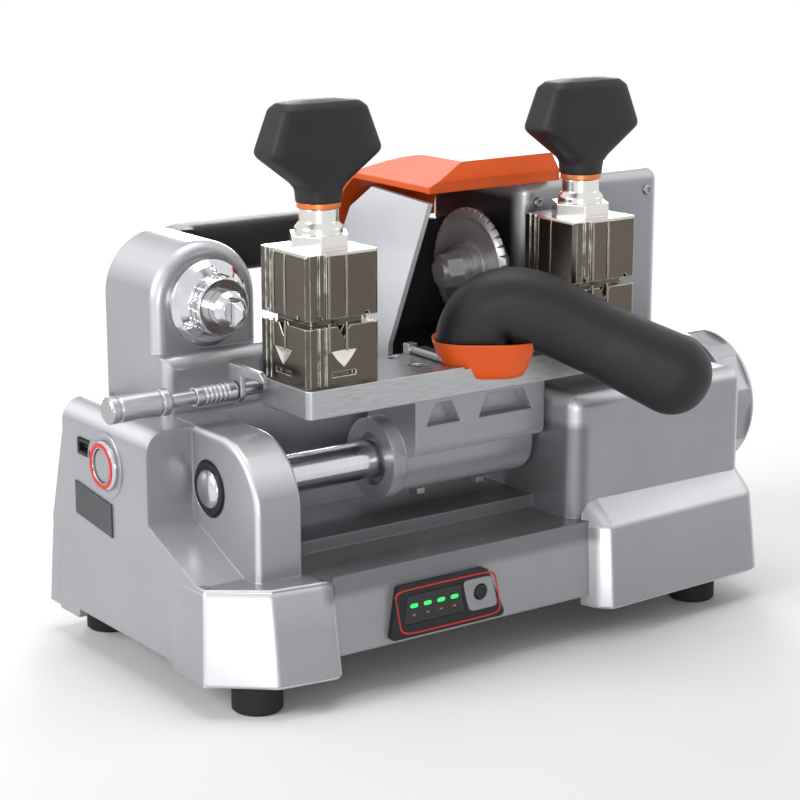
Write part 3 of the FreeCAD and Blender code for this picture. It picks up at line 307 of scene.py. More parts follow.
def darkBox(name, lowCorner, highCorner):
    look = hollowLook[name]
    low = np.array(lowCorner) + np.array(look["low"]) * mm
    high = np.array(highCorner) + np.array(look["high"]) * mm
    return tuple((low + high) / 2), tuple((high - low) / 2), look["amount"]


openings = {entry["name"]: entry["box_m"] for entry in frame["record"]["physics"]["openings"]}
# the chip trough's inside is darkened as painted shade
darkTrough = darkBox("trough", *openings["chip_trough"])
housingLow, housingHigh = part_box("spindle_housing")
# the wall beside the cutter is the housing's left face, from behind its front round to its back, painted near
# black as shade
darkWall = darkBox("wall", housingLow, (housingLow.x, housingHigh.y, housingHigh.z))

brushX = (0.04, 1, 1)
brushZ = (1, 1, 0.06)
crownDrop = 17.0 * mm  # the stepped tower on each vise, from its top down to the block

# cast paint carries a painted highlight on its fillets and chamfers, stronger on the base
castLook = {**tones(base=(152, 153, 158), shade=(146, 147, 152), fleck=(176, 177, 182), worn=(206, 207, 211),
                    burnishColour=(226, 227, 230)),
            "grainScale": 1900.0, "fleckAmount": 0.25, "rough": (0.29, 0.38), "metallic": 0.35, "bump": 0.1,
            "edge": 1.2, "wear": 0.4, "coat": 0.3, "dust": 0.03, "burnish": 0.6}
blackLook = {**tones(base=(27, 27, 30), shade=(22, 22, 25), fleck=(42, 42, 46), worn=(58, 58, 62)),
             "grainScale": 1300.0, "fleckAmount": 0.3, "rough": (0.42, 0.6), "bump": 0.35, "edge": 1.2,
             "wear": 0.35, "specular": 0.36, "dust": 0.06}
orangeLook = {**tones(base=(230, 88, 8), shade=(221, 79, 6), fleck=(237, 104, 22), worn=(243, 128, 56)),
              "grainScale": 1100.0, "fleckAmount": 0.25, "rough": (0.34, 0.48), "bump": 0.14, "edge": 1.0,
              "wear": 0.4, "coat": 0.12, "specular": 0.35, "dust": 0.02}
steelLook = {**tones(base=(196, 197, 200), shade=(178, 179, 183), fleck=(222, 223, 225),
                     worn=(235, 235, 236)),
             "grainScale": 2200.0, "rough": (0.28, 0.42), "metallic": 1.0, "bump": 0.12, "edge": 0.5,
             "wear": 0.5, "dust": 0.03}
# nickel: upward faces of the vises carry a painted highlight
nickelLook = {**tones(base=(100, 93, 85), shade=(92, 85, 77), fleck=(116, 109, 100), worn=(236, 232, 222),
                      crownColour=(222, 220, 216)),
              "grainScale": 5200.0, "stretch": brushZ, "fleckAmount": 0.2, "rough": (0.18, 0.26),
              "metallic": 1.0, "bump": 0.03, "edge": 1.0, "wear": 1.5, "dust": 0.02,
              "crown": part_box("left_upper_jaw")[1].z - crownDrop}
chromeLook = {**tones(base=(212, 213, 216), shade=(200, 201, 205), fleck=(232, 233, 235),
                      worn=(240, 240, 240)),
              "grainScale": 1800.0, "rough": (0.08, 0.2), "metallic": 1.0, "bump": 0.06, "edge": 0.5,
              "wear": 0.4, "dust": 0.02}

finishes = {
    "castPaint": castLook,
    # the wall beside the cutter and the chip trough carry painted shade
    "housingPaint": {**castLook, **tones(hollowColour=(30, 30, 33)), "hollow": darkWall},
    "basePaint": {**castLook, **tones(hollowColour=(102, 102, 106)), "hollow": darkTrough, "burnish": 0.85},
    "darkPaint": {**castLook, **tones(base=(58, 58, 62), shade=(46, 46, 50), fleck=(84, 84, 88),
                                      worn=(120, 120, 124)), "metallic": 0.2, "burnish": 0.0},
    "palePaint": {**castLook, **tones(base=(224, 226, 229), shade=(214, 216, 220), fleck=(236, 237, 239),
                                      worn=(240, 240, 241)),
                  "metallic": 0.1, "edge": 0.8, "rough": (0.3, 0.42), "burnish": 0.0},
    "blackPlastic": blackLook,
    "footRubber": {**blackLook, **tones(base=(26, 26, 27), shade=(20, 20, 21)), "rough": (0.65, 0.85),
                   "dust": 0.25},
    "orangePlastic": orangeLook,
    "redPlastic": {**orangeLook, **tones(base=(206, 44, 34), shade=(188, 36, 28), fleck=(222, 70, 54),
                                         worn=(232, 104, 84)), "edge": 0.4},
    "copperRing": {**steelLook, **tones(base=(222, 122, 70), shade=(204, 104, 54), fleck=(236, 152, 100),
                                        worn=(244, 178, 130)), "metallic": 0.75},
    "plateSteel": {**steelLook, **tones(base=(168, 169, 172), shade=(158, 159, 162)), "stretch": brushX,
                   "grainScale": 3000.0, "rough": (0.28, 0.38), "edge": 0.9, "wear": 0.7},
    "shaftSteel": {**chromeLook, "turned": (alongX, boxCentre("carriage_shaft"))},
    "screwSteel": {**steelLook, **tones(base=(150, 151, 154), shade=(132, 133, 137))},
    "viseNickel": nickelLook,
    "viseBright": {**nickelLook, **tones(base=(150, 143, 133), shade=(140, 133, 123)), "edge": 0.3},
    # near white: a painted reflection on the vise facets
    "viseFacet": {**nickelLook, **tones(base=(232, 228, 220), shade=(222, 218, 210), fleck=(240, 237, 230)),
                  "edge": 0.2},
    "chromeTrim": chromeLook,
    "tracerChrome": {**chromeLook, "turned": (alongY, boxCentre("tracer_flange"))},
    "cutterSteel": {**steelLook, **tones(base=(208, 209, 212), shade=(192, 193, 197)), "metallic": 0.65,
                    "turned": (alongX, boxCentre("cutter_disc"))},
    "pulleyAlloy": {**steelLook, "turned": (alongX, boxCentre("spindle_pulley"))},
    "motorCan": {**steelLook, **tones(base=(92, 94, 98), shade=(80, 82, 86))},
    "greyPlastic": {**blackLook, **tones(base=(150, 152, 156), shade=(140, 142, 146), fleck=(170, 172, 176),
                                         worn=(190, 191, 194))},
    "windowBlack": {**blackLook, **tones(base=(12, 13, 14), shade=(8, 9, 10), fleck=(20, 21, 22)),
                    "rough": (0.05, 0.14), "bump": 0.02, "coat": 0.5, "edge": 0.3, "dust": 0.01},
    "darkPlate": {**blackLook, **tones(base=(70, 71, 75), shade=(58, 59, 63)), "edge": 0.3,
                  "rough": (0.3, 0.42)},
    "cellWrap": {**blackLook, **tones(base=(36, 82, 150), shade=(30, 70, 132), fleck=(70, 116, 180))},
    "boardGreen": {**blackLook, **tones(base=(24, 96, 58), shade=(18, 80, 48), fleck=(58, 132, 88))},
    "beltRubber": {**blackLook, "rough": (0.6, 0.8), "stretch": brushX},
}
materials = {name: makeFinish(name, look) for name, look in finishes.items()}

litLook = {"grainScale": 900.0, "peak": 1.3}


# A lit face: a plastic finish that glows, brighter where the grain is
def makeLit(name, look):
    material = makeFinish(name, look)
    tree = material.node_tree
    shader = tree.nodes["Principled BSDF"].inputs
    grain = useGroup(tree, "grain", Scale=litLook["grainScale"])["Mask"]
    brightest = tuple(min(1.0, part * litLook["peak"]) for part in look["glow"])
    give(tree, addMix(tree, grain, look["glow"], brightest), shader["Emission Color"])
    give(tree, look["strength"], shader["Emission Strength"])
    return material


litFinishes = {
    "greenLamp": {**orangeLook, **tones(base=(30, 150, 70), shade=(24, 132, 60), fleck=(90, 220, 130),
                                        worn=(140, 240, 170), glow=(40, 225, 100)),
                  "edge": 0.2, "dust": 0.0, "strength": 1.0},
    "amberMark": {**orangeLook, **tones(base=(150, 96, 40), shade=(132, 82, 34), glow=(170, 110, 50)),
                  "edge": 0.2, "dust": 0.0, "strength": 0.25},
}
materials.update({name: makeLit(name, look) for name, look in litFinishes.items()})

finishNodes = {
    "basePaint": ["base_casting"],
    "castPaint": ["tracer_post", "carriage_casting", "shaft_drum"],
    "housingPaint": ["spindle_housing"],
    # the chip hood's dark paint stands for the shade inside the cutter chamber: painted shade
    "darkPaint": ["chip_hood", "bottom_plate", "battery_door"],
    "palePaint": ["hood_cheek"],
    "blackPlastic": ["left_wing_knob", "right_wing_knob", "lever_grip", "carry_handle", "charge_socket",
                     "lock_button", "shaft_cap", "display_bezel", "panel_button"],
    "footRubber": ["rubber_feet"],
    "orangePlastic": ["guard", "lever_collar"],
    "copperRing": ["left_knob_ring", "right_knob_ring"],
    "plateSteel": ["carriage_plate", "gauge_rod", "gauge_fingers", "gauge_brackets", "gauge_grips",
                   "lever_bar"],
    "shaftSteel": ["carriage_shaft"],
    "screwSteel": ["carriage_screws", "case_screws", "shaft_nut"],
    "viseNickel": ["left_lower_jaw", "left_upper_jaw", "right_lower_jaw", "right_upper_jaw"],
    "chromeTrim": ["left_clamp_stud", "right_clamp_stud", "power_bezel"],
    "tracerChrome": ["tracer_flange", "tracer_ring", "tracer_holder", "tracer_stylus"],
    "cutterSteel": ["cutter_disc", "cutter_nut", "spindle_shaft"],
    "pulleyAlloy": ["spindle_pulley", "motor_pulley", "spindle_bearings", "bushings"],
    "motorCan": ["motor_body", "motor_rotor"],
    "greyPlastic": ["power_button"],
    "windowBlack": ["display_window"],
    "darkPlate": ["label_plate"],
    "cellWrap": ["battery_pack"],
    "boardGreen": ["control_board"],
    "beltRubber": ["drive_belt"],
}
for finish, members in finishNodes.items():
    for member in members:
        slots = nodes[member].data.materials
        slots.clear()
        slots.append(materials[finish])
bare = sorted(set(nodes) - {member for members in finishNodes.values() for member in members})
print("finishes given to", len(nodes) - len(bare), "nodes, without one:", bare)


# Points and faces become a piece: faces turned outwards, smooth but for its sharp edges, riding on its body
def makePiece(name, points, faces, finish, body, sharp):
    mesh = bpy.data.meshes.new(name)
    mesh.from_pydata(points.tolist(), [], faces)
    work = bmesh.new()
    work.from_mesh(mesh)
    bmesh.ops.recalc_face_normals(work, faces=work.faces)
    work.to_mesh(mesh)
    work.free()
    mesh.polygons.foreach_set("use_smooth", np.ones(len(mesh.polygons), dtype=bool))
    mesh.set_sharp_from_angle(angle=math.radians(sharp))
    mesh.materials.append(materials[finish])
    piece = bpy.data.objects.new(name, mesh)
    bpy.context.scene.collection.objects.link(piece)
    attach(piece, body)
    return piece


# Skins: rows of points along a profile, each row running once round; the first and last rows are poles
def skin(name, grids, finish, body, sharp=40.0):
    points, quads, tips = [], [], []
    start = 0
    for grid in grids:
        rows, around = grid.shape[0] - 2, grid.shape[1]
        ring = start + 1 + np.arange(rows * around).reshape(rows, around)
        turned = np.roll(ring, -1, axis=1)
        last = start + 1 + rows * around
        quads.append(np.stack([ring[:-1], turned[:-1], turned[1:], ring[1:]], axis=-1).reshape(-1, 4))
        tips.append(np.stack([np.full(around, start), turned[0], ring[0]], axis=-1))
        tips.append(np.stack([np.full(around, last), ring[-1], turned[-1]], axis=-1))
        points.append(np.concatenate([grid[0, :1], grid[1:-1].reshape(-1, 3), grid[-1, :1]]))
        start = last + 1
    faces = np.concatenate(quads).tolist() + np.concatenate(tips).tolist()
    return makePiece(name, np.concatenate(points), faces, finish, body, sharp)


# Ring skins: rows of points that close on themselves both ways
def ringSkin(name, rows, finish, body, sharp=40.0):
    loop = np.arange(rows.shape[0] * rows.shape[1]).reshape(rows.shape[:2])
    over = np.roll(loop, -1, axis=0)
    faces = np.stack([loop, np.roll(loop, -1, axis=1), np.roll(over, -1, axis=1), over], axis=-1)
    return makePiece(name, rows.reshape(-1, 3), faces.reshape(-1, 4).tolist(), finish, body, sharp)


def fullTurn(steps):
    return np.linspace(0, 2 * np.pi, steps, endpoint=False)


# A pole row: every point at the mean of one row of a grid
def poleRow(grid, row):
    return np.broadcast_to(grid[row].mean(axis=0), grid[:1].shape)


# A superellipse: cosine and sine with their size raised to 2/n, rounder at 2 and squarer above
def roundSquare(angle, power):
    share = 2.0 / power
    across = np.sign(np.cos(angle)) * np.abs(np.cos(angle)) ** share
    along = np.sign(np.sin(angle)) * np.abs(np.sin(angle)) ** share
    return across, along


def squareOutline(halfAcross, halfAlong, power, around):
    u, v = roundSquare(fullTurn(around), power)
    return halfAcross * u, halfAlong * v


# A regular outline: its radius is its flat over the cosine of the turn away from the middle of a side
def flatSided(angle, sides):
    half = np.pi / sides
    return np.cos(half) / np.cos(np.mod(angle, 2 * half) - half)


# A boss: a profile of (share of an outline, rise in millimetres) carried round it, rising along one axis
def boss(centre, outward, across, along, profile, outline):
    share, rise = np.array(profile, dtype=float).T[:, :, None, None]
    spread = outline[0][:, None] * np.array(across) + outline[1][:, None] * np.array(along)
    return np.array(centre) + (share * spread + rise * np.array(outward)) * mm


# A turned ring: a profile of (radius, rise) in millimetres carried round the X axis, rising to the left
def turnedRing(centre, profile, around):
    turn = fullTurn(around)
    radius, rise = np.array(profile, dtype=float).T[:, :, None]
    shape = np.stack([0 * turn - rise, radius * np.cos(turn), radius * np.sin(turn)], axis=-1)
    return np.array(centre) + shape * mm


# Wing knobs: stations up the knob give half width, half depth and squareness, smoothed between them
wingLook = {"rise": (0, 5.4, 8.0, 19.4, 21.2, 23.0, 39.6, 42.2, 43.2, 43.4),
            "width": (10.0, 10.2, 12.2, 26.8, 28.0, 27.8, 21.4, 18.6, 9.0, 0.0),
            "depth": (9.4, 9.2, 9.2, 10.6, 10.8, 10.8, 9.4, 7.0, 3.0, 0.0),
            "power": (2.0, 2.4, 3.0, 5.0, 5.6, 5.6, 5.6, 5.0, 4.0, 3.0), "ease": 7, "stations": 120,
            "around": 128, "sharp": 60.0}


def makeWingKnob(side):
    low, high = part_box(side + "_wing_knob")
    centre = (low + high) / 2
    # spacing by the profile's own length keeps the rows even over the crown
    steps = np.hypot(np.diff(wingLook["rise"]), np.diff(wingLook["width"]))
    length = np.concatenate([[0], np.cumsum(steps)])
    spots = np.linspace(0, length[-1], wingLook["stations"])
    kernel = np.hanning(wingLook["ease"]) / np.hanning(wingLook["ease"]).sum()

    def smooth(key):
        raw = np.interp(spots, length, wingLook[key])
        padded = np.pad(raw, wingLook["ease"] // 2, mode="reflect", reflect_type="odd")
        eased = np.convolve(padded, kernel, mode="valid")
        eased[0], eased[-1] = raw[0], raw[-1]
        return eased[:, None]

    u, v = roundSquare(fullTurn(wingLook["around"]), smooth("power"))
    shape = np.stack([smooth("width") * u, smooth("depth") * v, smooth("rise") + 0 * u], axis=-1)
    grid = np.array([centre.x, centre.y, low.z]) + shape * mm
    closed = np.concatenate([poleRow(grid, 0), grid])
    knob = skin(side + "WingKnob", [closed], "blackPlastic", side + "_knob",
                wingLook["sharp"])
    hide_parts(side + "_wing_knob")


# Bright dome in the end cap of the shaft: an arc of sine and cosine, with a short foot sunk into the cap
domeLook = {"half": (8.5, 8.5), "power": 2.0, "bulge": 2.6, "inset": 0.2, "foot": (0.98, -0.15), "rows": 12,
            "around": 64}


def makeCapDome():
    low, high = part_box("shaft_cap")
    centre = (low.x + domeLook["inset"] * mm, (low.y + high.y) / 2, (low.z + high.z) / 2)
    swing = np.linspace(0, np.pi / 2, domeLook["rows"])
    arc = zip(np.sin(swing), domeLook["bulge"] * np.cos(swing))
    profile = [*arc, domeLook["foot"], (0.0, domeLook["foot"][1])]
    outline = squareOutline(*domeLook["half"], domeLook["power"], domeLook["around"])
    dome = boss(centre, toLeft, alongY, alongZ, profile, outline)
    skin("shaftCapDome", [dome], "chromeTrim", "base")


# Red ring round the power button, on its bright bezel: a flattened round section turned about X
ringLook = {"radius": 9.2, "thick": 1.05, "proud": 0.5, "section": 16, "around": 64, "sharp": 60.0}


def makePowerRing():
    low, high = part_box("power_bezel")
    swing = fullTurn(ringLook["section"])
    profile = np.stack([ringLook["radius"] + ringLook["thick"] * np.cos(swing),
                        ringLook["proud"] * np.sin(swing)], axis=-1)
    centre = (low.x, (low.y + high.y) / 2, (low.z + high.z) / 2)
    rows = turnedRing(centre, profile, ringLook["around"])
    ringSkin("powerRing", rows, "redPlastic", "base", ringLook["sharp"])


# Shallow bright dish round the power switch: a ring whose face falls towards the bezel
dishLook = {"profile": ((11.2, -0.3), (11.2, 0.15), (13.4, 0.35), (14.3, 0.9), (14.8, 0.9), (15.0, 0.45),
                        (15.0, -0.3)), "around": 72}


def makePowerDish():
    low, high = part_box("power_bezel")
    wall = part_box("label_plate")[1].x
    centre = (wall, (low.y + high.y) / 2, (low.z + high.z) / 2)
    rows = turnedRing(centre, dishLook["profile"], dishLook["around"])
    ringSkin("powerDish", rows, "castPaint", "base")


# Charge lamps: four lit bars on the window, with a small plain mark under each; each is a low rounded pillow
chargeLook = {"count": 4, "first": 0.17, "last": 0.83, "rise": 0.35, "round": 0.6, "foot": (0.95, -0.1),
              "power": 3.0, "rows": 7, "around": 32,
              "chargeBars": {"finish": "greenLamp", "half": (2.1, 1.0), "level": 0.62},
              "chargeMarks": {"finish": "amberMark", "half": (0.9, 0.45), "level": 0.3}}


def makeChargeLamps():
    low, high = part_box("display_window")
    shares = np.linspace(chargeLook["first"], chargeLook["last"], chargeLook["count"])
    places = low.x + (high.x - low.x) * shares
    swing = np.linspace(0, np.pi / 2, chargeLook["rows"])
    arc = zip(np.sin(swing) ** chargeLook["round"], chargeLook["rise"] * np.cos(swing))
    profile = [*arc, chargeLook["foot"], (0.0, chargeLook["foot"][1])]
    for name in ("chargeBars", "chargeMarks"):
        look = chargeLook[name]
        outline = squareOutline(*look["half"], chargeLook["power"], chargeLook["around"])
        z = low.z + (high.z - low.z) * look["level"]
        grids = [boss((x, low.y, z), toFront, alongX, alongZ, profile, outline) for x in places]
        skin(name, grids, look["finish"], "base")


# Pale plate round the panel button, flat faced, from the edge of its hole out to a slanted outline
plateLook = {"hole": 3.7, "halfWidth": 8.0, "halfHeight": 7.4, "lean": 0.26, "drop": 0.8, "power": 7.0,
             "thick": 0.3, "sunk": 0.1, "rim": 0.97, "rimRise": 0.6, "around": 72, "sharp": 0.0}


def makeButtonPlate():
    button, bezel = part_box("panel_button"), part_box("display_bezel")
    middle = (button[0] + button[1]) / 2
    centre = np.array([middle.x, bezel[0].y, middle.z])
    angle = fullTurn(plateLook["around"])
    u, v = roundSquare(angle, plateLook["power"])
    tall = plateLook["halfHeight"] * v
    wide = plateLook["halfWidth"] * u - plateLook["lean"] * tall
    outer = np.stack([wide, 0 * u, tall - plateLook["drop"]], axis=-1)
    inner = plateLook["hole"] * np.stack([np.cos(angle), 0 * angle, np.sin(angle)], axis=-1)
    rim = plateLook["rim"] * outer + (1 - plateLook["rim"]) * inner
    front, back = plateLook["thick"], -plateLook["sunk"]
    edge = front * plateLook["rimRise"]
    loops = ((inner, back), (inner, front), (rim, front), (outer, edge), (outer, back))
    rows = np.stack([centre + (flat + rise * np.array(toFront)) * mm for flat, rise in loops])
    ringSkin("buttonPlate", rows, "greyPlastic", "base", plateLook["sharp"])


# Thin red line round the display: a small round section along the slanted outline
trimLook = {"inset": 1.6, "lean": 0.2, "section": 0.4, "flatten": 0.6, "power": 9.0, "steps": 10,
            "around": 160}


def makeDisplayTrim():
    low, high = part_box("display_bezel")
    u, v = roundSquare(fullTurn(trimLook["around"]), trimLook["power"])
    inset = trimLook["inset"] * mm
    halfLong, halfTall = (high.x - low.x) / 2 - inset, (high.z - low.z) / 2 - inset
    lean = trimLook["lean"] * halfTall
    swing = fullTurn(trimLook["steps"])[:, None]
    grow = trimLook["section"] * mm * np.cos(swing)
    x = (low.x + high.x) / 2 + (halfLong - lean + grow) * u - lean * v
    y = low.y - trimLook["section"] * trimLook["flatten"] * mm * np.sin(swing) + 0 * u
    z = (low.z + high.z) / 2 + (halfTall + grow) * v
    ringSkin("displayTrim", np.stack([x, y, z], axis=-1), "redPlastic", "base")


# Button-head screws with a six-sided socket; the crown is shares of the radius and of the rise
screwLook = {"radius": 2.6, "rise": 1.3, "crown": ((1.0, 0.45), (0.92, 0.75), (0.78, 1.0)), "socket": 1.5,
             "sides": 6, "lip": 0.12, "deep": 0.9, "sunk": 0.1, "inset": 9.5, "drop": 10.0, "around": 48,
             "sharp": 30.0}


def screwHead(centre, outward, across, along):
    angle = fullTurn(screwLook["around"])
    socket = screwLook["socket"] * flatSided(angle, screwLook["sides"])
    radius, rise, lip, sunk = (screwLook[key] for key in ("radius", "rise", "lip", "sunk"))
    bottom = rise - screwLook["deep"]
    crown = [(radius * share, rise * part) for share, part in screwLook["crown"]]
    rows = [(0, -sunk), (radius, -sunk), *crown, (socket + lip, rise), (socket, rise - lip), (socket, bottom),
            (0, bottom)]
    ring = np.cos(angle)[:, None] * np.array(across) + np.sin(angle)[:, None] * np.array(along)
    reach = np.stack([0 * angle + row[0] for row in rows])[..., None]
    level = np.array([row[1] for row in rows])[:, None, None]
    return np.array(centre) + (reach * ring + level * np.array(outward)) * mm


def makeHousingScrews():
    inset, drop = screwLook["inset"] * mm, screwLook["drop"] * mm
    heads = [screwHead((x, housingLow.y, housingHigh.z - drop), toFront, alongX, alongZ)
             for x in (housingLow.x + inset, housingHigh.x - inset)]
    skin("housingScrews", heads, "screwSteel", "base", screwLook["sharp"])


# Lever grip: half widths along a bent centre line in the upright plane of its heading; the inner half is kept
# shorter than the bend's own radius so that the skin never folds
gripLook = {"heading": -35.0, "bend": ((0, -2), (1, 14), (13, 20.5), (33, 12.4)), "end": (86.6, -13.6),
            "outer": (19.6, 19.8, 18.0, 16.6, 16.2, 17.2, 18.2),
            "inner": (18.6, 18.0, 17.4, 16.6, 16.4, 17.4, 18.2),
            "side": (13.0, 14.6, 15.2, 14.8, 14.6, 15.6, 16.6), "shift": (-1.0, 1.5), "power": 2.5,
            "foldShare": 0.92, "leastBend": 1e-4, "bendSteps": 40, "runSteps": 30, "capSteps": 14,
            "around": 64, "sharp": 70.0}


# The grip's heading and the direction across it, both level
def gripAxes():
    turn = math.radians(gripLook["heading"])
    return (math.cos(turn), math.sin(turn), 0), (-math.sin(turn), math.cos(turn), 0)


def collarTop(shift):
    low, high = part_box("lever_collar")
    return np.array([(low.x + high.x) / 2 + shift[0] * mm, (low.y + high.y) / 2 + shift[1] * mm, high.z])


def makeLeverGrip():
    forward, sideways = (np.array(axis) for axis in gripAxes())
    # the bend is a cubic curve of four control points, the run a straight line from its last one
    first, second, third, fourth = np.array(gripLook["bend"], dtype=float)
    t = np.linspace(0, 1, gripLook["bendSteps"])[:, None]
    s = 1 - t
    bend = s ** 3 * first + 3 * t * s ** 2 * second + 3 * t ** 2 * s * third + t ** 3 * fourth
    run = fourth + np.linspace(0, 1, gripLook["runSteps"])[1:, None] * (np.array(gripLook["end"]) - fourth)
    line = np.concatenate([bend, run])
    heading = np.gradient(line, axis=0)
    heading /= np.linalg.norm(heading, axis=1)[:, None]
    length = np.concatenate([[0], np.cumsum(np.linalg.norm(np.diff(line, axis=0), axis=1))])
    tight = np.abs(np.gradient(np.unwrap(np.arctan2(heading[:, 1], heading[:, 0])), length))
    marks = np.linspace(0, length[-1], len(gripLook["outer"]))
    outer, inner, wide = (np.interp(length, marks, gripLook[key]) for key in ("outer", "inner", "side"))
    inner = np.minimum(inner, gripLook["foldShare"] / np.maximum(tight, gripLook["leastBend"]))
    # the round end: rows move on along the last heading while every half width shrinks as a cosine
    swing = np.linspace(0, np.pi / 2, gripLook["capSteps"])[1:]
    line = np.concatenate([line, line[-1] + np.sin(swing)[:, None] * outer[-1] * heading[-1]])
    heading = np.concatenate([heading, np.repeat(heading[-1:], len(swing), axis=0)])
    shrink = np.concatenate([np.ones(len(outer)), np.cos(swing)])
    outer, inner, wide = (np.concatenate([half, np.full(len(swing), half[-1])]) * shrink
                          for half in (outer, inner, wide))
    upward = np.stack([-heading[:, 1], heading[:, 0]], axis=-1)
    u, v = roundSquare(fullTurn(gripLook["around"]), gripLook["power"])
    reach = (outer + inner)[:, None] / 2 * u + (outer - inner)[:, None] / 2
    flat = line[:, None, :] + reach[..., None] * upward[:, None, :]
    across = wide[:, None] * v
    shape = flat[..., :1] * forward + flat[..., 1:] * np.array(alongZ) + across[..., None] * sideways
    grid = collarTop(gripLook["shift"]) + shape * mm
    closed = np.concatenate([poleRow(grid, 0), grid])
    grip = skin("leverGrip", [closed], "blackPlastic", "carriage", gripLook["sharp"])
    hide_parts("lever_grip")


# Lever collar: a shallow dish, a rounded foot that flares to a rolled rim, on a superellipse along the grip
collarLook = {"half": (23.5, 17.0), "power": 3.0, "shift": (1.0, -0.6), "around": 96, "sharp": 50.0,
              "profile": ((0.0, -13.4), (0.66, -13.4), (0.75, -12.6), (0.82, -9.6), (0.9, -4.6),
                          (0.965, 0.2), (0.995, 2.2), (1.0, 2.9), (0.99, 3.3), (0.965, 3.2), (0.9, 1.4),
                          (0.8, 0.6), (0.0, 0.4))}


def makeLeverCollar():
    outline = squareOutline(*collarLook["half"], collarLook["power"], collarLook["around"])
    dish = boss(collarTop(collarLook["shift"]), alongZ, *gripAxes(), collarLook["profile"], outline)
    collar = skin("leverCollar", [dish], "orangePlastic", "carriage", collarLook["sharp"])
    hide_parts("lever_collar")


# Carry handle: a squarish bar on a level path, back out of the post, round a quarter bend and across to its
# bracket
handleLook = {"start": -84.0, "sunk": 2.0, "bend": 11.0, "halfDeep": 9.0, "halfTall": 12.0, "power": 4.0,
              "bendSteps": 20, "runSteps": 30, "around": 64, "sharp": 50.0}


def makeCarryHandle():
    low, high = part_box("carry_handle")
    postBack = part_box("tracer_post")[1].y
    deep, tall, radius, startX = (handleLook[key] * mm for key in ("halfDeep", "halfTall", "bend", "start"))
    barY = high.y - deep
    # the stub, then a quarter circle from heading +Y to heading +X, then the bar
    turn = np.linspace(0, np.pi / 2, handleLook["bendSteps"])
    bend = np.stack([startX + radius * (1 - np.cos(turn)), barY - radius + radius * np.sin(turn)], axis=-1)
    runX = np.linspace(bend[-1, 0], high.x, handleLook["runSteps"])[1:]
    run = np.stack([runX, np.full(len(runX), barY)], axis=-1)
    line = np.concatenate([[(startX, postBack - handleLook["sunk"] * mm)], bend, run])
    turned = np.concatenate([[0], turn, np.full(len(run), np.pi / 2)])
    outward = np.stack([-np.cos(turned), np.sin(turned)], axis=-1)
    u, v = roundSquare(fullTurn(handleLook["around"]), handleLook["power"])
    level = line[:, None, :] + deep * u[None, :, None] * outward[:, None, :]
    height = np.broadcast_to((low.z + high.z) / 2 + tall * v, level.shape[:2])
    grid = np.concatenate([level, height[..., None]], axis=-1)
    closed = np.concatenate([poleRow(grid, 0), grid, poleRow(grid, -1)])
    handle = skin("carryHandle", [closed], "blackPlastic", "base", handleLook["sharp"])
    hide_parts("carry_handle")


# Skirts of the base: plan curves at the foot, the shoulder and the top, joined row by row and closed inside
# the wall; the foot lifts to an arch between the pads along the side
skirtLook = {
    "rightSkirt": {
        "foot": ((45, -57), (48.6, -66), (53.6, -71), (152, -66), (152, -19.5), (152, 63.5), (152, 94.2),
                 (128, 94.2)),
        "shoulder": ((45, -56), (49.2, -63.6), (54.2, -67.6), (149.6, -62.6), (149.6, -19.5), (149.6, 63.5),
                     (149.6, 92.2), (128, 92.2)),
        "top": ((49, -52), (51, -53), (56, -53.8), (147.2, -53.8), (147.2, -19.5), (147.2, 63.5),
                (147.2, 88.5), (128, 88.5)),
        "cuts": ((1.6, 1.6, 9, 3, 3, 6), (1.6, 1.6, 9, 3, 3, 5), (0.8, 0.8, 8, 3, 3, 3)),
        "heights": (13.2, 52.0, 62.6), "arch": (-19.5, 63.5)},
    "leftFront": {
        "foot": ((-148.6, -8), (-150.3, -24), (-150.6, -46.5), (-126.5, -67.6), (-97.5, -71.6), (-92.6, -64),
                 (-91, -58)),
        "shoulder": ((-146.6, -8), (-147.9, -24), (-148.1, -43.6), (-124.9, -60.7), (-97.9, -64.7),
                     (-93.6, -59.6), (-92, -56)),
        "top": ((-146, -8), (-146.6, -24), (-146.7, -42.6), (-124.2, -59), (-98.6, -62.6), (-95.4, -58.6),
                (-94, -55.6)),
        "cuts": ((3, 2, 2.4, 2.4, 1.2), (3, 1.6, 1.8, 1.8, 1.2), (3, 1.2, 1.2, 1.2, 1)),
        "heights": (13.2, 52.8, 54.5), "arch": (-20.5, 60)},
    "leftCorner": {
        "foot": ((-128, 92.6), (-137, 93.7), (-150.2, 93.7), (-150.2, 82), (-149, 72)),
        "shoulder": ((-128, 90.4), (-137, 91.5), (-148, 91.5), (-148, 82), (-146.8, 72)),
        "top": ((-128, 89.8), (-137, 90.5), (-147.2, 90.5), (-147.2, 82), (-146.6, 72)),
        "cuts": ((3, 4, 3), (3, 1.6, 3), (3, 0.6, 3)),
        "heights": (13.2, 48.5, 54.6), "arch": (63.5, 66)},
}
skirtEdge = {"soften": 1.3, "inside": 3.5, "archRise": 4.0, "archRun": 2.5, "steps": 10, "sharp": 30.0}


# A plan curve: straight runs, each corner a quadratic curve between the points a cut before and after it
def planCurve(corners, cuts):
    corners = np.array(corners, dtype=float)
    t = np.linspace(0, 1, skirtEdge["steps"])[:, None]
    runs = [corners[:1]]
    for before, corner, after, cut in zip(corners[:-2], corners[1:-1], corners[2:], cuts):
        start = corner + cut * (before - corner) / np.linalg.norm(before - corner)
        end = corner + cut * (after - corner) / np.linalg.norm(after - corner)
        runs.append((1 - t) ** 2 * start + 2 * t * (1 - t) * corner + t ** 2 * end)
    runs.append(corners[-1:])
    return np.concatenate(runs)


# Points a little way from one row of points towards another
def toward(start, end):
    gap = end - start
    return start + skirtEdge["soften"] * gap / np.linalg.norm(gap, axis=1)[:, None]


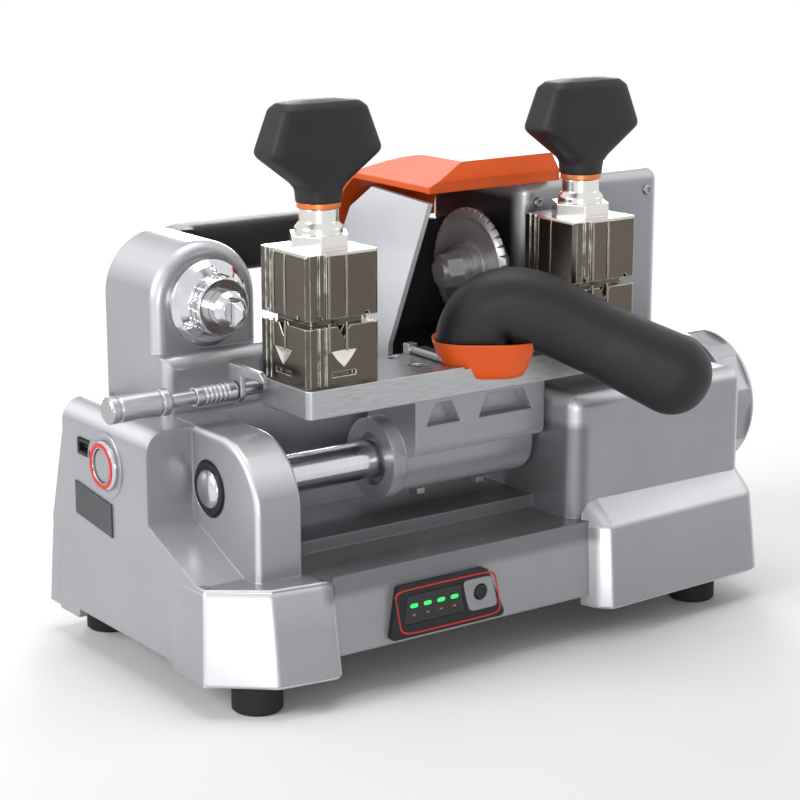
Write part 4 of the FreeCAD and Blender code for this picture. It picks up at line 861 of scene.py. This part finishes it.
def makeSkirt(name):
    look = skirtLook[name]
    levels = [planCurve(look[key], cuts) for key, cuts in zip(("foot", "shoulder", "top"), look["cuts"])]
    foot, shoulder, top = (np.concatenate([curve, np.full((len(curve), 1), height)], axis=1)
                           for curve, height in zip(levels, look["heights"]))
    # the arch rises and falls as a smooth step of the distance along the side
    first, last = look["arch"]
    run = skirtEdge["archRun"]
    rise = np.clip((foot[:, 1] - first) / run, 0, 1) * np.clip((last - foot[:, 1]) / run, 0, 1)
    foot[:, 2] += skirtEdge["archRise"] * rise ** 2 * (3 - 2 * rise)
    heading = np.gradient(levels[0], axis=0)
    heading /= np.linalg.norm(heading, axis=1)[:, None]
    inward = skirtEdge["inside"] * np.stack([-heading[:, 1], heading[:, 0], 0 * heading[:, 0]], axis=-1)
    deep = foot + inward
    section = [toward(foot, deep), toward(foot, shoulder), toward(shoulder, foot), toward(shoulder, top), top,
               top + inward, deep]
    grid = np.stack(section, axis=1) * mm
    closed = np.concatenate([poleRow(grid, 0), grid, poleRow(grid, -1)])
    skin(name, [closed], "basePaint", "base", skirtEdge["sharp"])


# The four upright faces of a vise: the direction out of each, and the level direction along it
def viseFaces():
    turns = np.arange(4) * np.pi / 2
    return [(np.array([math.sin(turn), -math.cos(turn), 0]), np.array([math.cos(turn), math.sin(turn), 0]))
            for turn in turns]


# Vise ribs: round-edged bars up each face, at set shares of its width, on both jaws
ribLook = {"places": (0.3, 0.54), "halfWidth": 0.65, "lowerReach": 0.45, "margin": 0.6,
           "profile": ((0, 0.45), (0.8, 0.45), (1, 0.225), (1, -0.3), (0, -0.3)), "power": 9.0,
           "around": 32, "sharp": 35.0}


def makeViseRibs(side):
    low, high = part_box(side + "_lower_jaw")
    upperLow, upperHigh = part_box(side + "_upper_jaw")
    half, margin = (high.x - low.x) / 2, ribLook["margin"] * mm
    lowerTop = high.z - margin
    spans = {"Upper": (upperLow.z + margin, upperHigh.z - crownDrop - margin, side + "_clamp"),
             "Lower": (lowerTop - ribLook["lowerReach"] * (high.z - low.z), lowerTop, side + "_vise")}
    for jaw, (foot, top, body) in spans.items():
        halfTall = (top - foot) / 2 / mm
        outline = squareOutline(ribLook["halfWidth"], halfTall, ribLook["power"], ribLook["around"])
        middle = np.array([(low.x + high.x) / 2, (low.y + high.y) / 2, (foot + top) / 2])
        grids = [boss(middle + outward * half + along * half * (2 * place - 1), outward, along, alongZ,
                      ribLook["profile"], outline)
                 for outward, along in viseFaces() for place in ribLook["places"]]
        skin(side + jaw + "Ribs", grids, "viseBright", body, ribLook["sharp"])


# Vise facets: a dished triangle that points down on each face of a lower jaw, in near-white painted
# reflection; the triangle's radius is raised to a power below one so that its sides bulge
facetLook = {"halfWidth": 6.4, "top": 0.46, "bottom": 0.72, "bulge": 0.85, "sides": 3, "sharp": 35.0,
             "profile": ((0, -0.3), (1, -0.3), (1, 0.15), (0.93, 0.25), (0.84, 0.15), (0, 0.02)),
             "around": 60}


def makeViseFacets(side):
    low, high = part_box(side + "_lower_jaw")
    half, jaw = (high.x - low.x) / 2, high.z - low.z
    # a triangle with its tip down reaches one radius down and half a radius up
    tall = (facetLook["bottom"] - facetLook["top"]) * jaw / 1.5
    angle = fullTurn(facetLook["around"])
    radius = flatSided(angle + np.pi / 2, facetLook["sides"]) ** facetLook["bulge"]
    # its upper corners lie 30 degrees above level, at the half width
    corner = facetLook["halfWidth"] / np.cos(np.pi / 6)
    outline = (radius * np.cos(angle) * corner, radius * np.sin(angle) * tall / mm)
    level = high.z - facetLook["top"] * jaw - tall / 2
    middle = np.array([(low.x + high.x) / 2, (low.y + high.y) / 2, level])
    grids = [boss(middle + outward * half, outward, along, alongZ, facetLook["profile"], outline)
             for outward, along in viseFaces()]
    skin(side + "ViseFacets", grids, "viseFacet", side + "_vise", facetLook["sharp"])


for side in ("left", "right"):
    makeWingKnob(side)
    makeViseRibs(side)
    makeViseFacets(side)
makeLeverGrip()
makeLeverCollar()
makeCarryHandle()
for name in skirtLook:
    makeSkirt(name)
makePowerDish()
makeDisplayTrim()
makeCapDome()
makePowerRing()
makeChargeLamps()
makeButtonPlate()
makeHousingScrews()

# Floor, sky, lamps and camera, in metres, degrees and watts
stageLook = {"floorSize": 12.0, "floorColour": (0.92, 0.92, 0.92, 1), "floorRough": 0.9, "floorShine": 0.1,
             "paperNear": 0.32, "paperFar": 0.9, "skyLight": 0.3, "target": (-0.0088, 0.0105, 0.1051),
             "azimuth": -35.66, "elevation": 13.93, "away": 1.061, "lens": 103.5, "sensor": 36.0}
studioLamps = {"leftLamp": {"place": (-1.5, 0.15, 0.8), "size": 0.9, "power": 16.0},
               "frontLamp": {"place": (-0.92, -1.27, 0.22), "size": 0.42, "power": 6.0},
               "topLamp": {"place": (0.1, 0.2, 1.7), "size": 1.2, "power": 11.0},
               "backLamp": {"place": (0.75, 1.1, 0.5), "size": 0.7, "power": 9.0},
               "rightLamp": {"place": (1.4, -0.7, 0.7), "size": 0.9, "power": 2.0}}


# One for the rays that see the background: camera, glossy and transmission rays
def seenRays(tree):
    rays = addNode(tree, "ShaderNodeLightPath").outputs
    seen = addMath(tree, "MAXIMUM", rays["Is Camera Ray"], rays["Is Glossy Ray"])
    return addMath(tree, "MAXIMUM", seen, rays["Is Transmission Ray"])


# The paper floor: white grows with the distance from the object, for the rays that see the paper
def makeFloor():
    half = stageLook["floorSize"] / 2
    mesh = bpy.data.meshes.new("studioFloor")
    corners = [(-half, -half, 0), (half, -half, 0), (half, half, 0), (-half, half, 0)]
    mesh.from_pydata(corners, [], [(0, 1, 2, 3)])
    floor = bpy.data.objects.new("studioFloor", mesh)
    bpy.context.scene.collection.objects.link(floor)
    paper = bpy.data.materials.new("studioPaper")
    paper.use_nodes = True
    tree = paper.node_tree
    shader = tree.nodes["Principled BSDF"]
    fill(tree, shader.inputs, {"Base Color": stageLook["floorColour"], "Roughness": stageLook["floorRough"],
                               "Specular IOR Level": stageLook["floorShine"]})
    away = addVector(tree, "LENGTH", objectPlace(tree))
    far = addRange(tree, away, stageLook["paperNear"], stageLook["paperFar"])
    mixed = addNode(tree, "ShaderNodeMixShader")
    white = addNode(tree, "ShaderNodeEmission")
    give(tree, addMath(tree, "MULTIPLY", far, seenRays(tree)), mixed.inputs[0])
    give(tree, shader.outputs[0], mixed.inputs[1])
    give(tree, white.outputs[0], mixed.inputs[2])
    give(tree, mixed.outputs[0], tree.nodes["Material Output"].inputs["Surface"])
    mesh.materials.append(paper)


# The sky: plain white for the rays that see it, a softer fill for everything else
def makeSky():
    world = bpy.data.worlds.new("studioSky")
    bpy.context.scene.world = world
    world.use_nodes = True
    tree = world.node_tree
    light = tree.nodes["Background"].inputs
    give(tree, (1, 1, 1, 1), light["Color"])
    give(tree, addRange(tree, seenRays(tree), 0.0, 1.0, stageLook["skyLight"], 1.0), light["Strength"])


# An object in a place, turned so that its own -Z looks along a direction
def setUp(name, data, place, direction):
    thing = bpy.data.objects.new(name, data)
    thing.location = place
    thing.rotation_mode = "QUATERNION"
    thing.rotation_quaternion = direction.to_track_quat("-Z", "Y")
    bpy.context.scene.collection.objects.link(thing)
    return thing


def makeLamp(name, look):
    data = bpy.data.lights.new(name, "AREA")
    data.shape = "DISK"
    data.size = look["size"]
    data.energy = look["power"]
    setUp(name, data, look["place"], Vector(stageLook["target"]) - Vector(look["place"]))


def makeCamera():
    turn, rise = math.radians(stageLook["azimuth"]), math.radians(stageLook["elevation"])
    back = Vector((math.sin(turn) * math.cos(rise), -math.cos(turn) * math.cos(rise), math.sin(rise)))
    data = bpy.data.cameras.new("photoCamera")
    data.lens = stageLook["lens"]
    data.sensor_width = stageLook["sensor"]
    place = Vector(stageLook["target"]) + back * stageLook["away"]
    bpy.context.scene.camera = setUp("photoCamera", data, place, -back)


makeFloor()
makeSky()
for name, look in studioLamps.items():
    makeLamp(name, look)
makeCamera()
bpy.context.scene.view_settings.view_transform = "Standard"
print("stage set")
